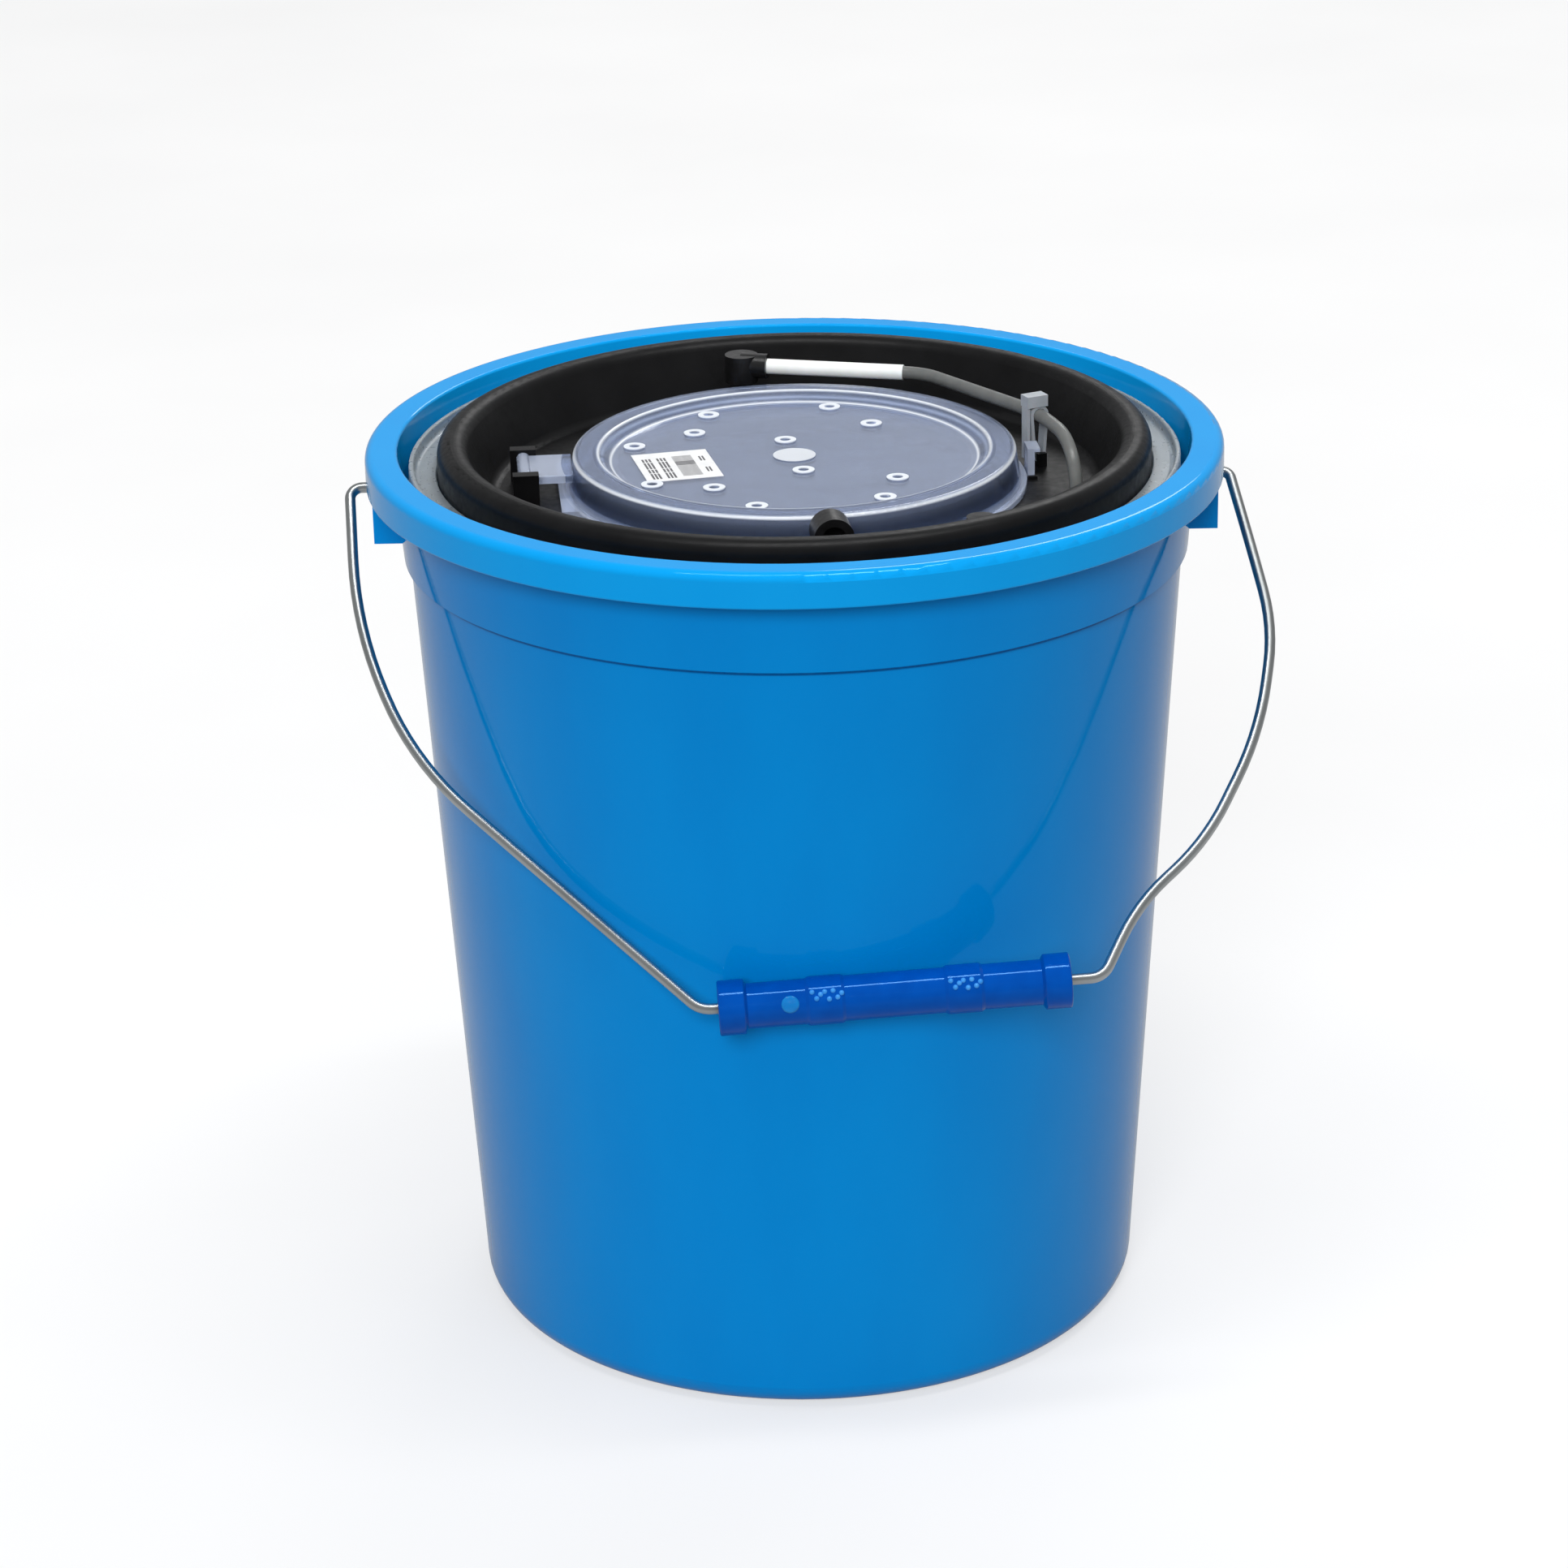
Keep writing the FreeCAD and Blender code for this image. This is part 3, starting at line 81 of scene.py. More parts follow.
LENS = 100.45                             # focal length and sensor width, both in millimetres
SENSOR = 36.0
CAMERA_PLACE = Vector((0.0, -1.56453, 0.83017))
CAMERA_ANGLES = (68.0896, 1.0733, -0.1986)        # degrees: tilt from straight down, roll, heading
CAMERA_NEAREST = 0.1
CAMERA_FARTHEST = 20.0
FLOOR_REACH = 6.0                         # from the middle of the floor to its sides
FLOOR_GAP = 0.0002                        # floor below the pail's base
FLOOR_SHADES = (0.38, 0.41)
FLOOR_GLOW = (0.56, 0.15)                 # strength of the glow, seen directly and in a mirror
FLOOR_GLOW_COLOUR = (1.0, 1.0, 1.0, 1.0)
WORLD_GLOW = (0.7, 0.05)                  # the same for the world, on top of its light
WORLD_LIGHT = 0.3
WORLD_COLOUR = (0.97, 0.985, 1.0, 1.0)
SUNS = [                                  # name, direction, strength, width in degrees
    ("fill", (-0.2, -0.8, -0.6), 0.8, 60),
    ("key", (0.15, 0.95, -0.55), 1.9, 25),
]
AREA_LAMPS = [                            # name, place, point that it faces, width, depth, watts
    ("ceiling", (0.1, -0.35, 2.4), (0, 0, 0.3), 1.8, 0.2, 24),
    ("rear_window", (0.5, 2.6, 1.9), (0, 0, 0.33), 0.9, 0.7, 9),
]

# ---------------------------------------------------------------- values of the materials

NOISE_SPAN = (0.3, 0.7)                   # most noise values lie between these
MOULDED_IOR = 1.49                        # refractive index of the pail and the grip
NATURAL_IOR = 1.45                        # the same for the lid, the tub and the hatch
BLUE_SHEEN = (0.2, 0.6, 1.0, 1.0)         # tint of the highlights on blue plastic
WALL_SHADE = 0.5                          # places on the pail's scale of blues, dark 0 to light 1
# painted shade: a dark line on the step, where its underside faces down under the band
STEP_PAINTED_SHADE = 0.03
# painted light: the rim band's lighter blue stands in for the top light it catches
BAND_PAINTED_LIGHT = 0.95
PAINTED_LIGHT_SPAN = (STEP_LEVEL - 0.005, BAND_LEVEL + 0.005)     # heights between which the pail's painted shade and painted light are set
PAIL_PAINTED_LIGHT_AND_SHADE = [                           # height, shade: painted shade as a dark line on the step, painted light on the rim band
    (STEP_LEVEL - 0.0007, WALL_SHADE), (STEP_LEVEL, STEP_PAINTED_SHADE),
    (STEP_LEVEL + 0.0012, STEP_PAINTED_SHADE), (STEP_LEVEL + 0.0016, WALL_SHADE),
    (BAND_LEVEL - 0.0010, WALL_SHADE), (BAND_LEVEL + 0.0002, BAND_PAINTED_LIGHT),
]
PAIL_BLUES = [                            # place on the scale, colour
    (0.1, (0.0, 0.10, 0.34)), (0.45, (0.0, 0.220, 0.63)), (0.55, (0.0, 0.262, 0.70)),
    (0.9, (0.002, 0.315, 0.78)), (1.0, (0.004, 0.35, 0.82)),
]
EDGE_HIGHLIGHT_SPAN = (TUB_EDGE - 0.0016, TUB_EDGE - 0.0006)        # where a painted highlight turns the tub's flange whitish at its edge
EDGE_HIGHLIGHT = 0.7
HAZE_SPAN = (0.060, 0.090)                # distances from the axis between which the hatch's haze and painted edge highlights are set
HAZE_AND_EDGE_HIGHLIGHTS = [                            # distance from the axis, share of white cloud in the hatch: its haze, with painted highlights as the white peaks at the edges of panel and ring
    (0.0650, 0.26), (PANEL_RADIUS - 0.0008, 0.30), (PANEL_RADIUS, 0.85), (PANEL_RADIUS + 0.0009, 0.20),
    (RING_INNER - 0.0010, 0.20), (RING_INNER, 0.90), (RING_INNER + 0.0010, 0.16),
    (RING_OUTER - 0.0014, 0.16), (RING_OUTER, 0.90), (RING_OUTER + 0.0010, 0.22),
    (FLANGE_RADIUS, 0.45), (FLANGE_RADIUS + 0.0004, 0.40),
]
WALL_RADII = (RING_OUTER - 0.0017, FLANGE_RADIUS + 0.0003)    # the ring's outer wall lies between
WALL_SPAN = (RING_LEVEL - 0.0115, RING_LEVEL)             # its heights, from 1 mm above the flange up
WALL_CLEARING = [                         # share of WALL_SPAN, share of cloud lost there
    (0.02, 0.0), (0.08, 0.72), (0.86, 0.72), (0.93, 0.0),
]
COLLAR_HIGHLIGHT_SPAN = (PANEL_LEVEL + 0.0001, PANEL_LEVEL + 0.0007)    # heights where a painted highlight turns what rises off the panel white
COLLAR_HIGHLIGHT = 0.95
COLLAR_LIMIT = PANEL_RADIUS - 0.001       # they lie nearer to the axis than this

# ---------------------------------------------------------------- marks on the grip

MARK_TILT = math.radians(20)              # how far the marks' middle is turned up from the front
BUMP_ROWS = (0.0388, 0.0882)              # middles of the two rows of bumps, from the grip's left end
BUMP_COUNT = 8
BUMP_STEP = 0.0015                        # from bump to bump along the grip
BUMP_TURNS = (25, 9, 18, 24, 6)           # degrees above MARK_TILT, used one after the other
BUMP_RADIUS = 0.0010
BUMP_HEIGHT = 0.0009
BUMP_RINGS = 4
BUMP_SIDES = 14
GATE_PLACE = 0.0256                       # middle of the round moulding mark, from the grip's left end
GATE_RADIUS = 0.0032
GATE_RISE = 0.00008                       # height of its face over the barrel
GATE_RINGS = 5
GATE_SIDES = 28
MARK_SINK = 0.0002                        # depth of the marks' edges under the grip's surface

# ---------------------------------------------------------------- sticker on the hatch

STICKER_CORNER = Vector((-0.0540, -0.0290))       # front left corner
STICKER_HEADING = Vector((-0.0256, -0.0227))      # a point that the front edge runs towards
STICKER_WIDTH = 0.0285
STICKER_DEPTH = 0.0340
STICKER_GAP = 0.00002                     # paper over the panel
PAPER_TOP = 0.00012                       # upper faces of the paper and the ink over its underside
INK_TOP = 0.00015
WORD_LINES = (0.0026, 0.0039, 0.0052, 0.0082, 0.0095, 0.0108)     # places of the lines of bars
WORD_START = 0.0026
WORD_LENGTHS = (0.0075, 0.0050, 0.0085, 0.0045)   # each with the gap that follows
WORD_GAP = 0.0008
WORD_WIDTH = 0.0008
BLOCK_SIDES = (0.0142, 0.0216)            # block of short rows
BLOCK_ENDS = (0.0040, 0.0280)
BLOCK_MIDDLE = (0.0167, 0.0214)           # the stretch with thick rows
THIN_ROW = (0.00045, 0.00100)             # thickness, and step to the next row
THICK_ROW = (0.00090, 0.00115)
FOOT_LINES = (0.0240, 0.0252)
FOOT_STARTS = (0.0070, 0.0205)
FOOT_LENGTH = 0.0055
FOOT_WIDTH = 0.0007


# ---------------------------------------------------------------- camera

def add_camera():
    """Camera fitted to the photograph's rim, step, base and lid ellipses."""
    data = bpy.data.cameras.new("camera")
    data.sensor_width = SENSOR
    data.lens = LENS
    data.clip_start = CAMERA_NEAREST
    data.clip_end = CAMERA_FARTHEST
    camera = bpy.data.objects.new("camera", data)
    turn = Euler([math.radians(angle) for angle in CAMERA_ANGLES])
    camera.matrix_world = Matrix.LocRotScale(CAMERA_PLACE, turn, None)
    bpy.context.scene.collection.objects.link(camera)
    bpy.context.scene.camera = camera


# ---------------------------------------------------------------- nodes that the materials share

def new_material(name):
    """An empty material and its shader."""
    material = bpy.data.materials.new(name)
    material.use_nodes = True
    return material, material.node_tree.nodes["Principled BSDF"]


def add_node(material, kind, **settings):
    """A new node of a material, or of the world."""
    node = material.node_tree.nodes.new(kind)
    for name, value in settings.items():
        setattr(node, name, value)
    return node


def set_inputs(node, values):
    """Sets input sockets, given by name."""
    for name, value in values.items():
        node.inputs[name].default_value = value


def link(material, source, target):
    """Joins an output socket to an input socket."""
    material.node_tree.links.new(source, target)


def computed(material, operation, *values):
    """Result of a Math node; each value is a number or an output socket."""
    node = add_node(material, "ShaderNodeMath", operation=operation)
    for socket, value in zip(node.inputs, values):
        if isinstance(value, bpy.types.NodeSocket):
            link(material, value, socket)
        else:
            socket.default_value = value
    return node.outputs["Value"]


def mapped(material, source, span, low=0.0, high=1.0):
    """The source's values within the span, turned into low to high and held there outside it."""
    node = add_node(material, "ShaderNodeMapRange")
    set_inputs(node, {"From Min": span[0], "From Max": span[1], "To Min": low, "To Max": high})
    link(material, source, node.inputs["Value"])
    return node.outputs["Result"]


def ramp(material, source, stops):
    """Colour ramp: stops are (position, colour)."""
    node = add_node(material, "ShaderNodeValToRGB")
    elements = node.color_ramp.elements
    while len(elements) < len(stops):
        elements.new(0.5)         # its own place follows
    for element, (position, colour) in zip(elements, stops):
        element.position = position
        element.color = (*colour, 1.0)
    link(material, source, node.inputs["Fac"])
    return node.outputs["Color"]


def grey(shade):
    """Colour of a neutral shade."""
    return (shade, shade, shade)


def banded(material, source, span, bands):
    """A value that follows (measure, value) pairs, for a source whose measures lie within the span."""
    stops = []
    for measure, value in bands:
        stops.append(((measure - span[0]) / (span[1] - span[0]), grey(value)))
    return ramp(material, mapped(material, source, span), stops)


def coordinates(material):
    """Place in the object's own coordinates, which for a CAD node are the part's."""
    return add_node(material, "ShaderNodeTexCoord").outputs["Object"]


def scaled(material, vector, scale):
    """A vector whose parts are each multiplied by their own scale."""
    node = add_node(material, "ShaderNodeMapping")
    set_inputs(node, {"Scale": scale})
    link(material, vector, node.inputs["Vector"])
    return node.outputs["Vector"]


def height_level(material):
    """Height of a CAD node's points above the ground, with the part at rest."""
    parts = add_node(material, "ShaderNodeSeparateXYZ")
    link(material, coordinates(material), parts.inputs["Vector"])
    return parts.outputs["Z"]


def axis_distance(material):
    """Distance of a CAD node's points from the pail's upright axis, with the part at rest."""
    length = add_node(material, "ShaderNodeVectorMath", operation="LENGTH")
    link(material, scaled(material, coordinates(material), (1.0, 1.0, 0.0)), length.inputs[0])
    return length.outputs["Value"]


def noise(material, scale, detail=3.0, stretch=None):
    """Noise over the object, with scale as its cycles per metre."""
    texture = add_node(material, "ShaderNodeTexNoise")
    set_inputs(texture, {"Scale": scale, "Detail": detail})
    place = coordinates(material)
    if stretch:
        place = scaled(material, place, stretch)
    link(material, place, texture.inputs["Vector"])
    return texture.outputs["Fac"]


def paint(material, shader, source, dark, light, span=NOISE_SPAN):
    """Base colour between two shades, for a source within the span."""
    colour = ramp(material, source, [(span[0], dark), (span[1], light)])
    link(material, colour, shader.inputs["Base Color"])


def polish(material, shader, scale, smooth, rough, detail=3.0):
    """Roughness that varies between two values, with scale as its cycles per metre."""
    varied = mapped(material, noise(material, scale, detail), NOISE_SPAN, smooth, rough)
    link(material, varied, shader.inputs["Roughness"])


def relief(material, shader, source, distance, strength):
    """Fine relief that stays in the shading."""
    node = add_node(material, "ShaderNodeBump")
    set_inputs(node, {"Strength": strength, "Distance": distance})
    link(material, source, node.inputs["Height"])
    link(material, node.outputs["Normal"], shader.inputs["Normal"])


# ---------------------------------------------------------------- materials of the record's slots

def pail_material():
    """Glossy blue polypropylene with faint upright flow waves, broad faint mottling, painted shade in a line on
    the step and painted light on the rim band.
    """
    material, shader = new_material("pail_blue")
    streaks = noise(material, scale=22.0, detail=4.0, stretch=(1.0, 1.0, 0.35))
    mottling = mapped(material, streaks, NOISE_SPAN, low=-0.03, high=0.03)
    # painted shade on the step and painted light on the rim band, by height
    painted_light_and_shade = banded(material, height_level(material), PAINTED_LIGHT_SPAN, PAIL_PAINTED_LIGHT_AND_SHADE)
    colour = ramp(material, computed(material, "ADD", mottling, painted_light_and_shade), PAIL_BLUES)
    link(material, colour, shader.inputs["Base Color"])
    polish(material, shader, scale=900.0, smooth=0.05, rough=0.09, detail=2.0)
    set_inputs(shader, {"IOR": MOULDED_IOR, "Specular IOR Level": 0.3, "Specular Tint": BLUE_SHEEN})
    waves = noise(material, scale=14.0, detail=2.0, stretch=(1.0, 1.0, 0.3))
    relief(material, shader, waves, distance=0.0006, strength=0.5)
    return material


def grip_material():
    """Royal blue moulded plastic."""
    material, shader = new_material("grip_blue")
    paint(material, shader, noise(material, scale=120.0),
          dark=(0.0, 0.060, 0.36), light=(0.0, 0.074, 0.42))
    polish(material, shader, scale=700.0, smooth=0.07, rough=0.10)
    set_inputs(shader, {"IOR": MOULDED_IOR, "Specular IOR Level": 0.35, "Specular Tint": BLUE_SHEEN})
    relief(material, shader, noise(material, scale=160.0), distance=0.0001, strength=0.3)
    return material


def steel_material():
    """Bright galvanised wire."""
    material, shader = new_material("bail_steel")
    paint(material, shader, noise(material, scale=25.0),
          dark=(0.40, 0.42, 0.42), light=(0.50, 0.52, 0.52))
    polish(material, shader, scale=40.0, smooth=0.3, rough=0.38)
    set_inputs(shader, {"Metallic": 1.0})
    return material


def tray_material():
    """Black satin polypropylene with a fine eroded texture."""
    material, shader = new_material("tray_black")
    paint(material, shader, noise(material, scale=60.0, detail=4.0),
          dark=(0.0035, 0.0035, 0.0038), light=(0.0065, 0.0065, 0.007))
    polish(material, shader, scale=350.0, smooth=0.34, rough=0.46)
    set_inputs(shader, {"IOR": NATURAL_IOR, "Specular IOR Level": 0.22})
    relief(material, shader, noise(material, scale=2600.0, detail=2.0), distance=0.00012, strength=0.35)
    return material


def fitting_material():
    """Black moulded fittings, a little glossier than the lid."""
    material, shader = new_material("fitting_black")
    paint(material, shader, noise(material, scale=200.0), dark=grey(0.004), light=(0.008, 0.008, 0.009))
    polish(material, shader, scale=500.0, smooth=0.28, rough=0.4)
    relief(material, shader, noise(material, scale=1800.0, detail=2.0), distance=0.0001, strength=0.3)
    return material


def rubber_material():
    """Dull black rubber."""
    material, shader = new_material("rubber_black")
    paint(material, shader, noise(material, scale=300.0), dark=grey(0.008), light=grey(0.014))
    polish(material, shader, scale=800.0, smooth=0.6, rough=0.75)
    return material


def tub_material():
    """Natural polypropylene: cloudy, with a painted highlight that whitens the flange's edge, and slow flow waves.
    """
    material, shader = new_material("tub_natural")
    # painted highlight along the flange's edge
    edge = mapped(material, axis_distance(material), EDGE_HIGHLIGHT_SPAN, high=EDGE_HIGHLIGHT)
    depth = mapped(material, noise(material, scale=14.0, detail=2.0), NOISE_SPAN, low=0.12, high=0.26)
    paint(material, shader, computed(material, "ADD", edge, depth), span=(0.1, 1.0),
          dark=(0.52, 0.58, 0.61), light=(0.80, 0.84, 0.86))
    polish(material, shader, scale=500.0, smooth=0.25, rough=0.4)
    set_inputs(shader, {"IOR": NATURAL_IOR, "Transmission Weight": 0.75})
    relief(material, shader, noise(material, scale=28.0, detail=2.0), distance=0.0003, strength=0.5)
    return material


def wall_clearing(material, level):
    """Share of the cloud that is missing from the ring's outer wall, below the ring's top edge."""
    inner, outer = WALL_RADII
    middle = (inner + outer) / 2
    on_wall = computed(material, "COMPARE", axis_distance(material), middle, outer - middle)
    stops = [(share, grey(lost)) for share, lost in WALL_CLEARING]
    by_level = ramp(material, mapped(material, level, WALL_SPAN), stops)
    return computed(material, "MULTIPLY", by_level, on_wall)


def collar_highlight(material, level):
    """Share of white in what rises off the panel: a painted highlight on the vents' collars, and the pale centre
    boss.
    """
    # painted highlight on the collars, by height above the panel
    raised = mapped(material, level, COLLAR_HIGHLIGHT_SPAN, high=COLLAR_HIGHLIGHT)
    inside = computed(material, "LESS_THAN", axis_distance(material), COLLAR_LIMIT)
    return computed(material, "MULTIPLY", raised, inside)


def hatch_haze_and_highlights(material):
    """Share of white cloud in the hatch: its own haze, milky on the flange, with painted highlights at the edges
    of panel and ring and on the collars.
    """
    level = height_level(material)
    by_radius = banded(material, axis_distance(material), HAZE_SPAN, HAZE_AND_EDGE_HIGHLIGHTS)
    kept = computed(material, "SUBTRACT", 1.0, wall_clearing(material, level))
    thinned = computed(material, "MULTIPLY", by_radius, kept)
    return computed(material, "MAXIMUM", thinned, collar_highlight(material, level))


def hatch_material():
    """Clear polypropylene, milky on the flange, with painted highlights that whiten the edges of panel and ring
    and the collars.
    """
    material, shader = new_material("hatch_clear")
    # haze, with painted highlights at the edges of panel and ring and on the collars
    haze_and_highlights = hatch_haze_and_highlights(material)
    paint(material, shader, haze_and_highlights, dark=(0.38, 0.47, 0.70), light=(0.86, 0.90, 0.96), span=(0.1, 0.7))
    polish(material, shader, scale=500.0, smooth=0.06, rough=0.12)
    set_inputs(shader, {"IOR": NATURAL_IOR})
    link(material, computed(material, "SUBTRACT", 1.0, haze_and_highlights), shader.inputs["Transmission Weight"])
    relief(material, shader, noise(material, scale=26.0, detail=2.0), distance=0.0006, strength=0.6)
    return material


def soft_material(name, dark, light, roughness, subsurface):
    """Milky plastic that lets a little light in under its surface."""
    material, shader = new_material(name)
    paint(material, shader, noise(material, scale=140.0, detail=4.0), dark, light)
    polish(material, shader, scale=600.0, smooth=0.8 * roughness, rough=1.2 * roughness)
    set_inputs(shader, {"Subsurface Weight": subsurface, "Subsurface Scale": 0.002})
    return material


def stem_material():
    """White air stem."""
    return soft_material("stem_white", dark=(0.84, 0.86, 0.84), light=(0.93, 0.94, 0.93),
                         roughness=0.4, subsurface=0.1)


def tube_material():
    """Milky grey air tube."""
    return soft_material("tube_natural", dark=(0.115, 0.12, 0.118), light=(0.15, 0.155, 0.15),
                         roughness=0.35, subsurface=0.05)


def tie_material():
    """Pale grey nylon of the cable tie."""
    return soft_material("tie_natural", dark=(0.30, 0.33, 0.36), light=(0.38, 0.41, 0.45),
                         roughness=0.35, subsurface=0.1)


def stone_material():
    """Grainy blue-grey air stone."""
    material, shader = new_material("stone_grey")
    grains = noise(material, scale=1400.0, detail=4.0)
    paint(material, shader, grains, dark=(0.05, 0.09, 0.16), light=(0.16, 0.24, 0.36), span=(0.35, 0.65))
    set_inputs(shader, {"Roughness": 0.9})
    relief(material, shader, grains, distance=0.0006, strength=0.8)
    return material


def make_materials():
    """The material of each slot in the record."""
    return {
        "pail_blue": pail_material(),
        "grip_blue": grip_material(),
        "bail_steel": steel_material(),
        "tray_black": tray_material(),
        "fitting_black": fitting_material(),
        "rubber_black": rubber_material(),
        "tub_natural": tub_material(),
        "hatch_clear": hatch_material(),
        "stem_white": stem_material(),
        "tube_natural": tube_material(),
        "tie_natural": tie_material(),
        "stone_grey": stone_material(),
    }


def dress_nodes(materials):
    """Each CAD node takes the material of its slot in the record."""
    for subpart in frame["record"]["subparts"]:
        node = NODES[subpart["node"]]
        material = materials[subpart["material_slot"]]
        if node.data.materials:
            for index in range(len(node.data.materials)):
                node.data.materials[index] = material
        else:
            node.data.materials.append(material)


# ---------------------------------------------------------------- floor and light

def seen_directly(material, direct, mirrored):
    """One strength for the camera's rays and those through clear pieces, one for mirrored rays, else 0."""
    rays = add_node(material, "ShaderNodeLightPath").outputs
    straight = computed(material, "MAXIMUM", rays["Is Camera Ray"], rays["Is Transmission Ray"])
    seen = computed(material, "MULTIPLY", straight, direct)
    reflected = computed(material, "MULTIPLY", rays["Is Glossy Ray"], mirrored)
    return computed(material, "MAXIMUM", seen, reflected)


def floor_material():
    """Dull grey that glows white to the camera and keeps the object's shadow."""
    material, shader = new_material("floor")
    dark, light = FLOOR_SHADES
    paint(material, shader, noise(material, scale=3.0), grey(dark), grey(light))
    set_inputs(shader, {"Roughness": 0.9, "Specular IOR Level": 0.0, "Emission Color": FLOOR_GLOW_COLOUR})
    link(material, seen_directly(material, *FLOOR_GLOW), shader.inputs["Emission Strength"])
    return material


def add_floor():
    """Square floor just under the pail."""
    corners = [(-1, -1), (1, -1), (1, 1), (-1, 1)]
    mesh = bpy.data.meshes.new("floor")
    mesh.from_pydata([(x * FLOOR_REACH, y * FLOOR_REACH, 0) for x, y in corners], [], [(0, 1, 2, 3)])
    floor = bpy.data.objects.new("floor", mesh)
    floor.location.z = cad_box[0][2] - FLOOR_GAP
    bpy.context.scene.collection.objects.link(floor)
    floor.data.materials.append(floor_material())


def add_lamp(name, kind, strength, direction):
    """A lamp of the given kind that shines in a direction."""
    data = bpy.data.lights.new(name, kind)
    data.energy = strength
    lamp = bpy.data.objects.new(name, data)
    lamp.rotation_euler = Vector(direction).to_track_quat("-Z", "Y").to_euler()
    bpy.context.scene.collection.objects.link(lamp)
    return lamp


def add_area(name, place, target, width, depth, power):
    """Rectangular lamp that faces a point."""
    lamp = add_lamp(name, "AREA", power, Vector(target) - Vector(place))
    lamp.location = place
    lamp.data.shape = "RECTANGLE"
    lamp.data.size = width
    lamp.data.size_y = depth


def add_sun(name, direction, strength, width):
    """A wide lamp far away that leaves no highlight of its own."""
    lamp = add_lamp(name, "SUN", strength, direction)
    lamp.data.angle = math.radians(width)
    lamp.visible_glossy = False


def add_world():
    """Pale surroundings that shed little light and look white to the camera."""
    world = bpy.data.worlds.new("world")
    world.use_nodes = True
    background = world.node_tree.nodes["Background"]
    set_inputs(background, {"Color": WORLD_COLOUR})
    strength = computed(world, "ADD", seen_directly(world, *WORLD_GLOW), WORLD_LIGHT)
    link(world, strength, background.inputs["Strength"])
    bpy.context.scene.world = world


def add_lights():
    """World and lamps."""
    add_world()
    for sun in SUNS:
        add_sun(*sun)
    for lamp in AREA_LAMPS:
        add_area(*lamp)
    bpy.context.scene.view_settings.view_transform = "Standard"


# ---------------------------------------------------------------- marks on the grip

def grip_frame():
    """The grip's middle, its axis, and the directions square to it that face forwards and up."""
    joint = next(j for j in frame["joints"] if j["name"] == "grip_spin")
    axis = Vector(joint["axis"]).normalized()
    low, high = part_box("bail_grip")
    forwards = Vector((0, -1, 0))
    forwards = (forwards - axis * axis.dot(forwards)).normalized()
    return (low + high) / 2, axis, forwards, forwards.cross(axis).normalized()


def grip_place(grip, along, turn, reach):
    """Point by distance from the grip's left end, turn up from the front and distance from its axis."""
    middle, axis, forwards, upwards = grip
    outward = forwards * math.cos(turn) + upwards * math.sin(turn)
    return middle + axis * (along - GRIP_LENGTH / 2) + outward * reach


def around(sides):
    """Angles of the corners of a regular polygon."""
    return [2 * math.pi * side / sides for side in range(sides)]


def add_skin(bm, rings, tip):
    """Faces over rings of points, given from the outermost inwards, and closed by a last point."""
    last = []
    for points in rings:
        ring = [bm.verts.new(point) for point in points]
        for step in range(len(last)):
            after = (step + 1) % len(last)
            bm.faces.new((last[step], last[after], ring[after], ring[step]))
        last = ring
    top = bm.verts.new(tip)
    for step in range(len(last)):
        bm.faces.new((last[step], last[(step + 1) % len(last)], top))


def add_bump(bm, grip, along, turn):
    """Low round bump on a raised band, as the upper half of a flattened sphere."""
    axis = grip[1]
    base = grip_place(grip, along, turn, BAND_RADIUS - MARK_SINK)
    outward = (base - grip_place(grip, along, turn, 0)).normalized()
    side = outward.cross(axis).normalized()
    rings = []
    for number in range(BUMP_RINGS):
        rise = math.pi / 2 * number / BUMP_RINGS
        middle = base + outward * BUMP_HEIGHT * math.sin(rise)
        reach = BUMP_RADIUS * math.cos(rise)
        rings.append([middle + (axis * math.cos(angle) + side * math.sin(angle)) * reach
                      for angle in around(BUMP_SIDES)])
    add_skin(bm, rings, base + outward * BUMP_HEIGHT)


def finished_piece(name, bm, material, body):
    """Turns a bmesh into a smooth piece that rides on a body."""
    bmesh.ops.recalc_face_normals(bm, faces=bm.faces)
    mesh = bpy.data.meshes.new(name)
    bm.to_mesh(mesh)
    bm.free()
    mesh.shade_smooth()
    mesh.materials.append(material)
    piece = bpy.data.objects.new(name, mesh)
    bpy.context.scene.collection.objects.link(piece)
    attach(piece, body)


def highlight_and_mark_material(name, dark, light):
    """Lighter grip plastic: a painted highlight on the bumps, and the moulding mark's own lighter colour."""
    material, shader = new_material(name)
    paint(material, shader, noise(material, scale=300.0), dark, light)
    polish(material, shader, scale=900.0, smooth=0.15, rough=0.25)
    set_inputs(shader, {"Specular IOR Level": 0.4})
    return material


def add_grip_bumps(grip):
    """Uneven row of small bumps on the upper front of each raised band, made lighter as a painted highlight."""
    # painted highlight: the bumps are lighter than the grip
    material = highlight_and_mark_material("grip_bump_highlight_blue", dark=(0.02, 0.24, 0.72), light=(0.06, 0.34, 0.82))
    bm = bmesh.new()
    for middle in BUMP_ROWS:
        for number in range(BUMP_COUNT):
            along = middle + (number - (BUMP_COUNT - 1) / 2) * BUMP_STEP
            turn = MARK_TILT + math.radians(BUMP_TURNS[number % len(BUMP_TURNS)])
            add_bump(bm, grip, along, turn)
    finished_piece("grip_bumps", bm, material, "grip")


def gate_ring(grip, reach, level):
    """Points round the moulding mark's middle, at a distance from it along the barrel's surface."""
    points = []
    for angle in around(GATE_SIDES):
        turn = MARK_TILT + reach * math.sin(angle) / BARREL_RADIUS
        points.append(grip_place(grip, GATE_PLACE + reach * math.cos(angle), turn, level))
    return points


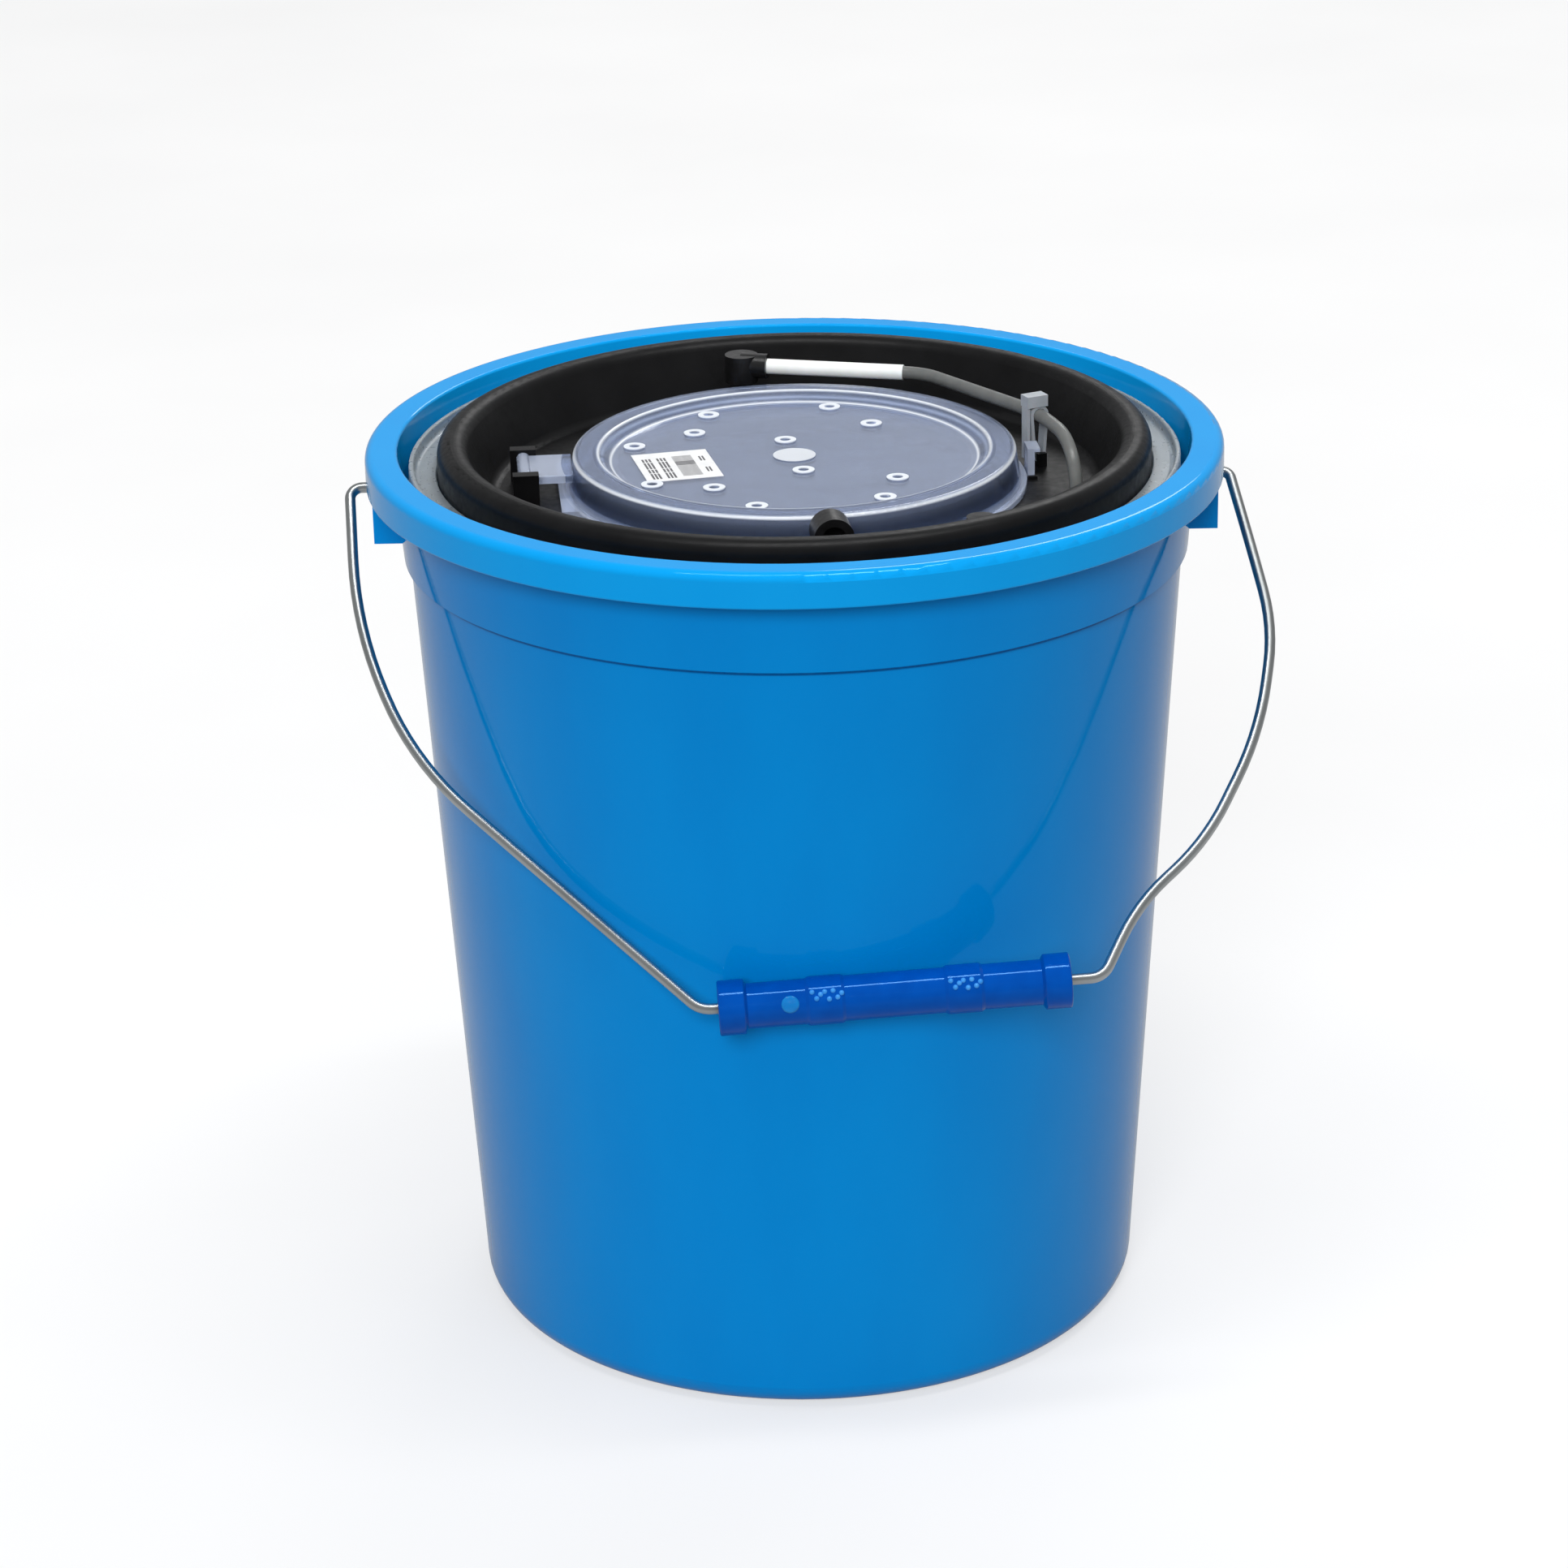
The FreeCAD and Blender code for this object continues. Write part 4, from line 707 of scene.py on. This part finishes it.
def add_grip_gate(grip):
    """Lighter round moulding mark near the grip's left end, as a thin patch round the barrel."""
    material = highlight_and_mark_material("grip_gate_blue", dark=(0.0, 0.16, 0.50), light=(0.0, 0.20, 0.58))
    face = BARREL_RADIUS + GATE_RISE
    rings = [gate_ring(grip, GATE_RADIUS, BARREL_RADIUS - MARK_SINK)]
    for number in range(GATE_RINGS, 0, -1):
        rings.append(gate_ring(grip, GATE_RADIUS * number / GATE_RINGS, face))
    bm = bmesh.new()
    add_skin(bm, rings, grip_place(grip, GATE_PLACE, MARK_TILT, face))
    finished_piece("grip_gate", bm, material, "grip")


# ---------------------------------------------------------------- sticker on the hatch

def label_material():
    """Satin white paper."""
    material, shader = new_material("sticker_paper")
    paint(material, shader, noise(material, scale=220.0, detail=4.0),
          dark=(0.78, 0.79, 0.80), light=grey(0.88))
    polish(material, shader, scale=900.0, smooth=0.3, rough=0.42)
    relief(material, shader, noise(material, scale=90.0, detail=2.0), distance=0.0001, strength=0.4)
    return material


def ink_material():
    """Dark grey ink."""
    material, shader = new_material("sticker_ink")
    paint(material, shader, noise(material, scale=1500.0),
          dark=(0.05, 0.05, 0.06), light=(0.16, 0.16, 0.17))
    set_inputs(shader, {"Roughness": 0.5})
    return material


def flat_blocks(name, outlines, low, high, material):
    """One mesh of thin blocks from low to high, each with an outline (x0, y0, x1, y1) on the sticker."""
    vertices = []
    faces = []
    for x0, y0, x1, y1 in outlines:
        first = len(vertices)
        corners = ((x0, y0), (x1, y0), (x1, y1), (x0, y1))
        vertices += [(x, y, z) for z in (low, high) for x, y in corners]
        for face in ((3, 2, 1, 0), (4, 5, 6, 7), (0, 1, 5, 4), (1, 2, 6, 5), (2, 3, 7, 6), (3, 0, 4, 7)):
            faces.append([first + corner for corner in face])
    mesh = bpy.data.meshes.new(name)
    mesh.from_pydata(vertices, [], faces)
    piece = bpy.data.objects.new(name, mesh)
    piece.data.materials.append(material)
    bpy.context.scene.collection.objects.link(piece)
    return piece


def word_bars():
    """Lines of short bars in place of words."""
    bars = []
    for line in WORD_LINES:
        start = WORD_START
        for length in WORD_LENGTHS:
            bars.append((line, start, line + WORD_WIDTH, start + length - WORD_GAP))
            start += length
    return bars


def block_bars():
    """Rows across a block, thicker in its middle stretch."""
    bars = []
    left, right = BLOCK_SIDES
    start, end = BLOCK_ENDS
    while start < end:
        in_middle = BLOCK_MIDDLE[0] < start < BLOCK_MIDDLE[1]
        thickness, step = THICK_ROW if in_middle else THIN_ROW
        bars.append((left, start, right, start + thickness))
        start += step
    return bars


def foot_bars():
    """Two pairs of bars beside the block."""
    bars = []
    for start in FOOT_STARTS:
        for line in FOOT_LINES:
            bars.append((line, start, line + FOOT_WIDTH, start + FOOT_LENGTH))
    return bars


def add_sticker():
    """White sticker on the hatch's panel, with bars in place of its printing."""
    sheet = (0, 0, STICKER_WIDTH, STICKER_DEPTH)
    paper = flat_blocks("sticker", [sheet], 0, PAPER_TOP, label_material())
    bars = word_bars() + block_bars() + foot_bars()
    ink = flat_blocks("sticker_bars", bars, PAPER_TOP, INK_TOP, ink_material())
    edge = STICKER_HEADING - STICKER_CORNER
    turn = Matrix.Rotation(math.atan2(edge.y, edge.x), 4, "Z")
    place = Matrix.Translation((*STICKER_CORNER, PANEL_LEVEL + STICKER_GAP))
    for piece in (paper, ink):
        piece.matrix_world = place @ turn
        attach(piece, "hatch")


add_camera()
materials = make_materials()
dress_nodes(materials)
grip = grip_frame()
add_grip_bumps(grip)
add_grip_gate(grip)
add_sticker()
add_floor()
add_lights()
